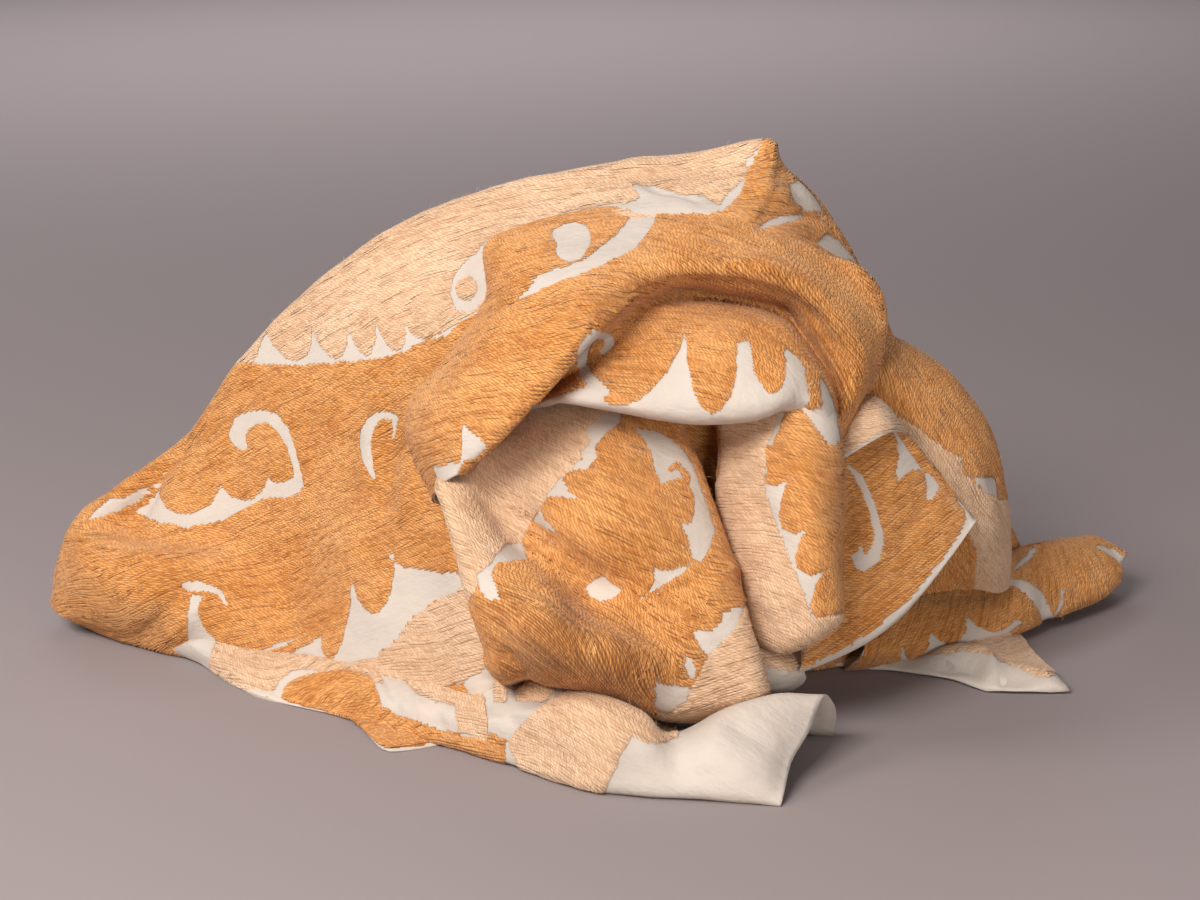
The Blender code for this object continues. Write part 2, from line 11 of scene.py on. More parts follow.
import bpy
import numpy as np
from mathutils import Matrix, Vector


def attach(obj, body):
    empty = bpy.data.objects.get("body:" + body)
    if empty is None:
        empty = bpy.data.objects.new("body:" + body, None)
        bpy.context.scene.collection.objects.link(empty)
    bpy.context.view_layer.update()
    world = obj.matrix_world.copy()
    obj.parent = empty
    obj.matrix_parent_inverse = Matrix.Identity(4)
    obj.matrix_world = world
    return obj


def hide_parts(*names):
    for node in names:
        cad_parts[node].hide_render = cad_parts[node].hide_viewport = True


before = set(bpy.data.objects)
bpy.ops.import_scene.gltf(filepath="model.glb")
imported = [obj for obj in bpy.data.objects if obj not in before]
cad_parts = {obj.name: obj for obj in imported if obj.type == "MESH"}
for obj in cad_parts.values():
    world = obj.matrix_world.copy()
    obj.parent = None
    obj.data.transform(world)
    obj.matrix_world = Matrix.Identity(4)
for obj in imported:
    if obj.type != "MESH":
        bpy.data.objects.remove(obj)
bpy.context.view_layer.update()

# ---- sizes
HEAP_MIDDLE = (0.0087, 0.1091)  # the part's origin, in the fold tables' own plan
CLOTH_BACK = 0.0013  # the cloth's underside is this far under the fold surface
CLOTH_FACE = 0.0001  # and its bare face this far over it
BED_RISE = 0.0005  # the bed that the yarn lies on stands this far over the fold surface
YARN_RISE = 0.0020  # the top of a full row of yarn
CELL = 0.0050  # how fine the grids are, in front
CELL_BACK = 0.0088  # and behind
ROW_PITCH = 0.0021  # from one laid row to the next
STITCH = 0.0031  # from one stitch to the next along a row
FUZZ = 0.06  # the share of places on a row where a fibre stands up
MOST = 190000  # faces in a piece
LAYOUT = 4.4  # the side, in metres, of the square in which the folds are laid out flat
LAYOUT_UNDER = 2.2  # how far up in it their undersides are
UNITS = 1333.0  # the drawing sheet's units in a metre, at the heap's middle

# ---- the eye that the drawing sheet belongs to
SHEET_MID = (600.0, 450.0)
SHEET_REACH = 2500.0
EYE_REACH = 1.875
EYE_TILT = math.radians(14.0)
AIM = (0.01, 0.0, 0.20)


def seen(across, down, depth):
    """A point that the front view shows at (across, down) on the drawing sheet, depth centimetres back from the aim."""
    y = depth / 100.0
    k = (SHEET_MID[1] - down) / SHEET_REACH
    c, s = math.cos(EYE_TILT), math.sin(EYE_TILT)
    w = (k * (EYE_REACH + y * c) - y * s) / (c + k * s)
    d = EYE_REACH + y * c - w * s
    return (AIM[0] + (across - SHEET_MID[0]) * d / SHEET_REACH, y, AIM[2] + w)


def plan(x, y, z):
    return (x / 100.0, y / 100.0, z / 100.0)


def on_sheet(points):
    """Where points, in the tables' plan, come on the front view's drawing sheet, and how far off they are."""
    rel = points - np.array(AIM)
    c, s = math.cos(EYE_TILT), math.sin(EYE_TILT)
    d = EYE_REACH + rel[..., 1] * c - rel[..., 2] * s
    up = rel[..., 2] * c + rel[..., 1] * s
    return np.stack([SHEET_MID[0] + rel[..., 0] / d * SHEET_REACH, SHEET_MID[1] - up / d * SHEET_REACH], -1), d


# ---- the folds, as in the part
# A row is (name of the fold line, how it is given, entries), an entry for each section across the fold.
DOME = [
    # sections run from the left toe up over the mound to its right foot
    ("back turned in", plan, [(-38, 22, .1), (-35.5, 26, .1), (-32, 30, .1), (-28, 33, .1), (-24.5, 35.5, .1), (-20, 33, .1), (-13, 36, .1), (-5, 33, .1), (3, 36.5, .1), (11, 36, .1), (19, 35, .1), (21.5, 34, .1), (26, 32, .1), (31, 28.5, .1), (34, 25, .1), (34.5, 21.5, .1), (33, 18.5, .1)]),
    ("back foot", plan, [(-40.5, 25, .3), (-38, 30.5, .4), (-34, 35, .5), (-29.5, 38.5, .6), (-25.5, 40.5, .8), (-20.5, 37, .8), (-13.5, 41, .8), (-5.5, 37.5, .8), (3, 42, .6), (11.5, 43, .3), (20, 40.5, .5), (22.5, 39.5, .6), (28, 36.5, .8), (34, 32, .8), (37.5, 27.5, .8), (38, 23.5, .7), (36, 20, .5)]),
    ("back low", plan, [(-42.3, 24.5, 1.6), (-39.8, 28, 3.8), (-35.3, 32.2, 5), (-30.8, 35.4, 5.6), (-26.2, 38.6, 7), (-20.7, 34.2, 7), (-14, 39.5, 7.5), (-6.3, 34, 8), (3, 38.5, 7.5), (11.2, 36.2, 6), (19.5, 37.5, 7.5), (22, 36.6, 7.7), (27, 34.3, 8), (33, 30.6, 8), (35.8, 26, 7), (36.5, 22, 4.5), (35, 19, 1.8)]),
    ("back crease", plan, [(-43.5, 23.4, 2.2), (-41, 25.6, 6), (-36, 29, 8.5), (-31.4, 31.4, 10), (-26.4, 35, 13.5), (-21, 30.6, 14), (-14.3, 36.2, 15), (-7, 31.2, 16), (2.6, 35.2, 16), (10.2, 31.4, 15), (18, 34, 16), (20.2, 32.6, 16), (24.5, 29.4, 15.5), (29.4, 26.6, 14), (31.6, 23, 12), (33.4, 20.4, 8), (33.6, 18, 2.4)]),
    ("back mid", plan, [(-44.3, 22.4, 2.6), (-41.8, 23.6, 7.6), (-37, 26.4, 10.6), (-32.2, 28, 13), (-26.8, 31.2, 18), (-21, 27.8, 21), (-14.5, 32, 23.5), (-7.2, 28, 25), (2.6, 32, 26.5), (9.6, 28.6, 27.5), (17, 29.4, 27.8), (18.8, 28.2, 27.2), (22.3, 25.4, 25), (26, 22.6, 21.6), (28.4, 20.4, 17.3), (31.2, 19, 10.5), (32, 17.2, 2.8)]),
    ("back high", plan, [(-44.9, 21.4, 2.8), (-42.4, 21.6, 8.6), (-37.8, 23.4, 12), (-32.8, 24.6, 15.6), (-27.2, 25.4, 21.4), (-21, 23.2, 27.4), (-14.6, 25.6, 31.2), (-7.2, 22.4, 33.8), (2.4, 24.6, 35.4), (9, 21.6, 36.6), (15.2, 20.4, 37), (16.8, 19.6, 36.2), (19.6, 18.2, 33.4), (22.6, 17.4, 28.3), (25, 16.8, 23), (28.4, 16.8, 13.5), (29.5, 16, 3.1)]),
    ("crown", seen, [(54, 596, 19.5), (70, 532, 18.5), (118, 488, 19.5), (183, 441, 20), (249, 350, 18), (325, 277, 16), (402, 224, 14.5), (495, 188, 13), (615, 165, 12), (700, 152, 11), (770, 140, 10), (782, 164, 10.4), (823, 206, 11), (864, 278, 12), (884, 345, 13), (889, 480, 15), (890, 590, 16)]),
    ("front high", seen, [(52, 603, 18.3), (80, 545, 15.8), (136, 514, 18.2), (203, 460, 16.6), (265, 378, 15), (335, 310, 12.5), (410, 255, 10.5), (495, 215, 9.5), (610, 184, 9), (700, 175, 8), (764, 166, 7.5), (778, 180, 7.7), (812, 212, 8), (848, 262, 9), (868, 335, 9), (876, 475, 11), (882, 596, 13.5)]),
    ("front upper", seen, [(55, 608, 17.2), (90, 568, 12.8), (146, 542, 14.4), (213, 504, 14.6), (280, 434, 12), (348, 365, 9), (415, 312, 7), (482, 265, 6.5), (604, 202, 6), (698, 196, 5), (755, 198, 4.5), (769, 208, 4.5), (797, 231, 4.5), (830, 280, 5), (852, 345, 5), (864, 480, 8), (876, 602, 12)]),
    ("front middle", seen, [(60, 613, 16.4), (99, 592, 11.8), (156, 572, 10.4), (224, 545, 12), (290, 498, 10.4), (352, 440, 6.8), (405, 382, 4.4), (450, 335, 3.4), (600, 235, 2), (700, 228, 1.5), (745, 238, 1), (757, 246, 1), (785, 265, 1), (815, 305, 1.5), (838, 365, 2), (850, 485, 5), (871, 608, 11)]),
    ("front lower", seen, [(68, 618, 15.9), (108, 614, 12), (163, 606, 9), (232, 592, 9.4), (296, 564, 8.8), (356, 520, 4.6), (412, 470, 1.2), (470, 450, 0), (600, 330, 1), (700, 330, 0), (748, 340, 0), (758, 343, 0), (780, 350, 0), (805, 370, 1), (830, 420, 3), (845, 530, 5.5), (868, 614, 10.5)]),
    ("front low", seen, [(80, 623, 16.2), (116, 631, 13.2), (168, 636, 10.2), (236, 634, 7.4), (300, 622, 5.2), (360, 598, 1.6), (424, 570, -2), (484, 560, -5), (600, 440, 1), (700, 430, 0), (756, 440, 0), (766, 443, 0), (790, 450, 0), (815, 460, 2), (836, 485, 3.6), (850, 568, 6.4), (866, 619, 10.5)]),
    ("front foot", seen, [(92, 626, 17.5), (124, 640, 15), (172, 655, 12), (238, 662, 8.5), (304, 668, 4.5), (366, 680, -0.5), (436, 690, -5), (500, 690, -8), (600, 560, 2), (710, 560, 2), (762, 570, 2), (773, 573, 2.3), (800, 580, 3), (822, 590, 3.6), (840, 600, 5.6), (856, 614, 8), (866, 623, 11)]),
    ("turned in", plan, [(-38, 20, .1), (-35, 18.5, .1), (-30, 15, .1), (-25, 12, .1), (-20, 9, .1), (-15, 4, .1), (-9.5, 0, .1), (-5, -1, .1), (2, 6, .1), (9, 6, .1), (14, 6, .1), (15.3, 6.3, .1), (18, 7, .1), (19.6, 7.8, .1), (21.2, 9.4, .1), (23, 11.4, .1), (24.5, 13, .1)]),
]

ARCH = [
    # sections run round the arch from its left foot over the top to its right tip
    ("behind", seen, [(446, 505, -1), (425, 418, 1), (455, 362, 2), (500, 305, 3), (512, 262, 5), (590, 236, 6), (662, 230, 6), (741, 244, 5), (800, 262, 5), (842, 296, 9), (848, 335, 10), (842, 390, 8), (834, 420, 5)]),
    ("outer edge", seen, [(433, 500, -5), (406, 418, -2), (440, 362, -1), (486, 298, 0), (490, 240, 3), (580, 213, 4.5), (660, 206, 4.5), (741, 220, 3.5), (808, 245, 3.5), (868, 276, 3.5), (884, 330, 3), (862, 405, 2.5), (842, 440, 0)]),
    ("crest", seen, [(438, 488, -8), (428, 425, -7.5), (470, 368, -7), (520, 305, -6), (545, 262, -3), (615, 240, -1), (690, 236, -1), (770, 250, -1.5), (835, 285, 0), (872, 322, .5), (874, 365, 0), (852, 418, -1), (839, 441, -3)]),
    ("roll front", seen, [(446, 480, -10), (470, 440, -11), (512, 388, -11), (562, 335, -10.5), (590, 296, -8), (650, 268, -5.5), (715, 266, -5), (785, 278, -5), (835, 312, -4), (860, 350, -3), (858, 390, -3), (845, 422, -3), (836, 440, -5)]),
    ("roll under", seen, [(456, 476, -10.5), (497, 441, -11.5), (545, 392, -11.5), (585, 345, -10.5), (620, 308, -8), (665, 288, -5), (722, 289, -4), (785, 302, -3.5), (818, 334, -3), (840, 365, -3), (846, 400, -3.5), (839, 424, -4), (833, 438, -6)]),
    ("valley", seen, [(463, 473, -10), (508, 432, -10), (551, 381, -9), (590, 342, -8), (630, 313, -4.5), (675, 297, -1.2), (725, 299, 0), (780, 312, 0), (806, 341, -.8), (826, 374, -2), (836, 405, -3), (835, 426, -4.5), (830, 438, -6.4)]),
    ("inner crest", seen, [(463, 468, -7), (508, 425, -6.4), (554, 379, -6.4), (597, 344, -5.8), (640, 327, -5), (690, 318, -5), (735, 322, -5.4), (776, 334, -5.4), (801, 352, -6), (819, 375, -6.6), (831, 402, -7), (834, 424, -7.2), (828, 440, -7.4)]),
    ("face", seen, [(463, 463, -4), (511, 420, -3.4), (556, 386, -5.2), (592, 364, -6.4), (640, 358, -7.6), (690, 354, -8.2), (738, 358, -8.8), (772, 366, -9), (792, 376, -9.2), (806, 390, -9.2), (818, 408, -9), (824, 424, -8.4), (822, 441, -7.6)]),
    ("lip", seen, [(468, 460, -2.4), (515, 418, -1.6), (541, 402, -4.8), (566, 396, -9), (628, 404, -10.4), (680, 412, -10.8), (738, 413, -11), (768, 409, -10.8), (784, 405, -10.2), (794, 408, -9.4), (802, 416, -8.6), (808, 428, -7.6), (810, 440, -6.8)]),
    ("curled under", seen, [(474, 458, -.6), (520, 417, -.2), (549, 407, -3.4), (570, 403, -6.4), (628, 412, -7.5), (680, 420, -7.5), (736, 420, -7.5), (766, 416, -7.5), (780, 411, -7), (788, 414, -7), (796, 422, -6.5), (804, 432, -6), (806, 442, -5.5)]),
    ("within", seen, [(480, 455, 1.6), (526, 416, 2), (562, 402, 2), (590, 380, 2), (630, 370, 2), (680, 370, 2), (730, 375, 2), (765, 380, 2), (780, 385, 2), (790, 395, 2), (800, 405, 2), (810, 415, 0), (815, 430, -2)]),
]

PANEL = [
    # the panel under the arch, top to bottom; sections run left to right
    ("under lip", seen, [(470, 470, 1), (462, 455, -2), (478, 440, -2), (505, 420, -1), (550, 395, 0), (605, 385, 0), (650, 392, 0), (676, 400, 0), (678, 400, 4)]),
    ("shoulder", seen, [(450, 478, -3), (438, 482, -9), (462, 478, -9), (496, 452, -6), (550, 430, -5), (605, 420, -4.8), (652, 422, -4), (682, 424, -3), (676, 424, 3)]),
    ("upper", seen, [(458, 512, -5), (446, 512, -11), (475, 512, -10.6), (510, 495, -7.6), (553, 478, -8), (605, 468, -8.8), (655, 466, -7.6), (697, 466, -5), (688, 466, 1)]),
    ("leaf", seen, [(468, 552, -7), (457, 552, -12.5), (490, 552, -12.6), (528, 540, -9.4), (562, 525, -10), (608, 518, -11.4), (665, 516, -10.6), (714, 512, -7.6), (704, 512, -1)]),
    ("trough", seen, [(477, 590, -8), (467, 590, -13.5), (505, 590, -15), (548, 588, -14.4), (590, 590, -11), (630, 580, -11.2), (680, 572, -11.6), (729, 560, -9.2), (718, 562, -2)]),
    ("bulge", seen, [(488, 620, -9), (478, 620, -14), (518, 620, -16.8), (565, 625, -17.6), (612, 634, -16.6), (648, 632, -13.2), (700, 618, -13), (745, 606, -10.8), (733, 612, -3)]),
    ("under bulge", seen, [(498, 650, -9), (489, 650, -13.8), (526, 655, -16.8), (575, 664, -17.6), (630, 676, -17), (668, 670, -15.2), (712, 660, -14), (757, 650, -12.2), (745, 655, -4)]),
    ("heel", seen, [(508, 666, -9), (499, 672, -12.6), (534, 680, -14), (585, 688, -14.4), (640, 706, -14.6), (680, 710, -14.4), (722, 702, -14), (766, 686, -12.8), (756, 688, -5)]),
    ("foot", seen, [(515, 672, -6), (510, 680, -8), (540, 682, -9.5), (590, 692, -10), (645, 714, -11), (685, 722, -11.6), (725, 720, -12), (768, 700, -11.6), (758, 698, -5)]),
]

LOOP = [
    # the hanging loop right of the panel, top to bottom
    ("under lip", seen, [(712, 385, 1), (712, 385, -3), (735, 385, -5), (770, 388, -6), (804, 382, -7.4), (828, 392, -5), (834, 405, 0)]),
    ("neck", seen, [(728, 430, 1), (718, 430, -3), (742, 430, -6), (768, 428, -8), (802, 420, -9.6), (837, 426, -7.8), (836, 432, -1)]),
    ("upper", seen, [(732, 480, 1), (718, 480, -4), (742, 480, -7.5), (767, 478, -9), (806, 474, -10.8), (841, 472, -8.4), (838, 476, -2)]),
    ("middle", seen, [(738, 540, 0), (723, 540, -5), (750, 540, -9), (780, 536, -10.5), (814, 532, -11.8), (841, 530, -9.2), (838, 532, -3)]),
    ("lower", seen, [(750, 592, -1), (737, 592, -6), (765, 595, -10.5), (799, 590, -12), (824, 584, -12.2), (841, 580, -10.2), (838, 582, -4)]),
    ("bottom", seen, [(765, 636, -2), (751, 638, -7), (779, 651, -10.5), (808, 642, -11.5), (828, 630, -11.5), (841, 620, -10), (838, 612, -4)]),
    ("turned up", seen, [(778, 622, -1.4), (768, 630, -3.6), (784, 640, -5), (804, 632, -5.4), (820, 622, -6), (830, 606, -6), (826, 596, -4.6)]),
]

FLAP = [
    # the three-cornered flap at the right, from its top down to its free edge
    ("behind", seen, [(838, 425, 2), (852, 412, 2.5), (868, 404, 3), (888, 415, 3), (905, 438, 3), (935, 472, 3)]),
    ("top", seen, [(834, 450, -1), (852, 432, -.5), (872, 420, 0), (892, 428, .5), (911, 443, 1), (941, 476, 2)]),
    ("upper", seen, [(830, 490, -4), (850, 475, -2), (878, 462, -1), (905, 464, 0), (928, 474, 1), (955, 495, 1.8)]),
    ("middle", seen, [(824, 550, -6), (846, 535, -4), (876, 518, -2.5), (910, 505, -1), (942, 503, .4), (966, 508, 1.5)]),
    ("lower", seen, [(815, 610, -8), (842, 592, -6), (876, 570, -4.2), (914, 548, -2.2), (950, 530, -.2), (973, 518, 1.2)]),
    ("free edge", seen, [(800, 673, -8.5), (836, 659, -7.6), (872, 640, -6), (908, 610, -4), (945, 565, -1.6), (977, 520, 1)]),
]

HOOD = [
    # the turned-over top of that flap
    ("behind", seen, [(848, 432, 3), (866, 408, 3), (885, 412, 3), (908, 440, 3)]),
    ("rim", seen, [(846, 428, -1), (866, 399, 0), (884, 405, .5), (907, 435, 1.4)]),
    ("front", seen, [(840, 446, -3.5), (862, 422, -2.6), (882, 418, -2), (902, 432, -.2)]),
    ("front edge", seen, [(839, 460, -5), (862, 447, -4.4), (882, 436, -3.4), (895, 431, -2)]),
]

TUBE = [
    # the tube at the right shoulder and the sheet that hangs from it; rows from its top down to its tip
    ("root", seen, [(850, 352, 16), (852, 340, 14), (866, 332, 9), (860, 352, 3), (856, 376, 2), (856, 396, 5), (850, 420, 8)]),
    ("shoulder", seen, [(872, 370, 18), (884, 352, 15), (909, 345, 9.5), (903, 370, 4), (892, 402, 3), (880, 424, 5), (862, 440, 8)]),
    ("bend", seen, [(893, 410, 18.5), (918, 385, 17), (956, 382, 11), (946, 410, 5), (924, 438, 4), (902, 456, 6), (872, 470, 9)]),
    ("elbow", seen, [(905, 465, 18.5), (938, 440, 18), (990, 434, 12.5), (978, 458, 6.5), (950, 480, 4.5), (918, 498, 6), (880, 505, 9)]),
    ("sleeve", seen, [(912, 520, 18.5), (950, 500, 18.5), (1003, 500, 13.5), (992, 514, 7.6), (965, 532, 5.5), (925, 545, 6.6), (885, 548, 9)]),
    ("skirt", seen, [(918, 560, 18.5), (958, 548, 18.5), (1007, 552, 14.5), (996, 562, 9), (972, 570, 7), (930, 574, 7), (888, 582, 9)]),
    ("tip", seen, [(922, 585, 18.5), (962, 578, 18.5), (1005, 584, 15), (998, 592, 10.6), (974, 588, 8.4), (932, 592, 7.4), (890, 606, 9)]),
]

TAIL = [
    # the long fold lying out to the right; rows from back to front, sections run out to its tip
    ("back foot", plan, [(23, 18, .1), (28, 20, .1), (32, 23, .1), (36, 26, .1), (40, 28.5, .3), (44, 30, 1), (46.6, 27.5, 2.6)]),
    ("back", plan, [(23, 15, 3.5), (28, 17, 3.6), (32, 20.5, 4), (36, 24, 4.2), (40, 27, 4.4), (44, 29, 4.8), (46.8, 27, 4)]),
    ("top", seen, [(880, 596, 11), (930, 590, 12), (985, 568, 16), (1025, 550, 20.5), (1064, 545, 23.5), (1102, 549, 26), (1122, 562, 26)]),
    ("front", seen, [(868, 626, 7.5), (925, 616, 9), (980, 602, 12), (1025, 588, 15.5), (1064, 580, 19), (1102, 574, 22.5), (1124, 569, 25.5)]),
    ("front low", seen, [(862, 654, 5.5), (922, 650, 7.5), (978, 642, 10), (1026, 626, 14), (1065, 612, 18), (1098, 598, 21.5), (1121, 580, 25)]),
    ("under", plan, [(20.5, 7.5, .1), (26, 9.2, .1), (30.5, 11.5, .3), (35, 16, .3), (39, 20.5, .5), (43, 24, 1), (46.4, 26, 2.4)]),
    ("turned in", plan, [(22, 12, .1), (27, 13, .1), (31, 15, .1), (35, 19, .1), (39, 23, .1), (42.5, 26, .5), (45.8, 27.2, 2)]),
]

HEM_FLAP = [
    # the border that spreads from under the long fold
    ("under fold", seen, [(845, 645, 10.5), (890, 640, 11), (940, 634, 12), (985, 628, 13), (1020, 634, 14.5)]),
    ("upper", seen, [(848, 649, 9.5), (892, 646, 9.6), (942, 642, 10), (990, 641, 10.4), (1029, 647, 10.6)]),
    ("lower", seen, [(850, 656, 8.8), (894, 656, 8.2), (944, 655, 7.8), (998, 661, 6.8), (1050, 669, 5.8)]),
    ("edge", plan, [(18.5, 8, .5), (22.4, 7.4, .5), (28.2, 5, .5), (31.6, 2.2, .5), (37.3, 2, .6)]),
    ("edge foot", plan, [(18.5, 8.2, .1), (22.4, 7.7, .1), (28.2, 5.4, .1), (31.6, 2.6, .1), (37.1, 2.4, .1)]),
    ("turned in", plan, [(18.5, 11, .1), (22, 11, .1), (27, 10, .1), (31, 8.6, .1), (34, 8.2, .1)]),
]

ROLL = [
    # the border roll along the front, rows from behind it, over it, to its underside; sections run left to right
    ("back foot", seen, [(190, 632, 17.5), (224, 644, 14.6), (272, 662, 8.6), (338, 676, 4), (405, 688, 0), (475, 706, -3), (545, 712, -6), (600, 718, -8), (646, 724, -9), (676, 728, -9), (724, 732, -8), (776, 734, -7.4), (833, 735, -7.2)]),
    ("behind", seen, [(186, 624, 14.6), (218, 636, 12.4), (262, 650, 8.4), (330, 664, 4), (400, 676, -1), (470, 685, -5), (540, 680, -9.4), (600, 692, -11.4), (644, 722, -11.6), (672, 734, -11.6), (722, 716, -11.4), (775, 708, -10.4), (836, 710, -9.6)]),
    ("top", seen, [(174, 620, 12), (208, 633, 9.8), (254, 650, 6.6), (330, 662, 1.6), (400, 680, -3.2), (468, 696, -8.2), (535, 701, -12.8), (592, 696, -15.4), (640, 713, -16.4), (668, 736, -16), (724, 708, -15), (775, 694, -13.6), (824, 695, -12.6)]),
    ("front", seen, [(165, 634, 10.8), (200, 648, 8), (250, 672, 3.4), (330, 688, -1.4), (400, 700, -6.4), (465, 714, -10.8), (525, 714, -15), (585, 714, -18.4), (640, 735, -19.2), (675, 752, -18.6), (720, 736, -18.6), (768, 728, -17.4), (811, 727, -15)]),
    ("front low", seen, [(164, 648, 11.2), (200, 661, 8.4), (254, 692, 1.8), (335, 708, -2.6), (405, 720, -7.6), (468, 734, -11.4), (530, 750, -15.4), (590, 766, -19), (640, 776, -20), (680, 780, -20.2), (720, 776, -20.6), (760, 770, -20.2), (792, 763, -18)]),
    ("contact", plan, [(-33.6, 12.6, .1), (-30.8, 9, .1), (-25.5, 1.6, .1), (-19, -3, .1), (-13.8, -7.5, .1), (-8.8, -10.8, .1), (-4, -15, .1), (.4, -18.4, .1), (4.2, -19.6, .1), (6.8, -20, .1), (9.8, -20.5, .1), (12, -21, .1), (13.4, -21.2, .1)]),
    ("turned in", plan, [(-32, 15, .1), (-28.4, 11, .1), (-23, 4, .1), (-17, -.5, .1), (-12, -4.5, .1), (-7, -7.6, .1), (-2.6, -11.4, .1), (2, -14.4, .1), (5, -15.8, .1), (7, -16.2, .1), (10, -16.4, .1), (12, -17, .1), (13.4, -18, .1)]),
]

CORNER = [
    # the cloth's corner that peeps out under the front roll
    ("inner", plan, [(-19, -2.4, .3), (-14.8, -4.8, .4), (-11.6, -6.6, .4), (-8.6, -8, .3)]),
    ("middle", plan, [(-18, -4, .35), (-14.9, -7.6, .5), (-12.4, -8.6, .5), (-9.4, -8.6, .35)]),
    ("edge", plan, [(-17, -5.4, .15), (-14.9, -10.3, .15), (-13, -10.5, .15), (-10, -9, .15)]),
]

SCRAP = [
    # the bit of border between the panel and the flap
    ("behind", seen, [(722, 640, -3), (748, 634, -3), (774, 640, -3.5), (800, 652, -4)]),
    ("top", seen, [(728, 648, -7), (752, 644, -7), (776, 650, -7.4), (800, 664, -7.6)]),
    ("middle", seen, [(732, 668, -8.4), (756, 666, -8.6), (784, 672, -8.4), (806, 676, -7)]),
    ("foot", seen, [(736, 700, -9), (760, 697, -8.6), (788, 692, -7.2), (803, 684, -5.6)]),
]

# How many of a fold's first rows lie behind its crown, where the back's own pattern goes, and where the folds are fine.
BACK_ROWS = {"dome": 6}
FOLDS = {
    "dome": DOME,
    "arch": ARCH,
    "panel": PANEL,
    "loop": LOOP,
    "flap": FLAP,
    "hood": HOOD,
    "tube": TUBE,
    "tail": TAIL,
    "hem_flap": HEM_FLAP,
    "roll": ROLL,
    "corner": CORNER,
    "scrap": SCRAP,
}

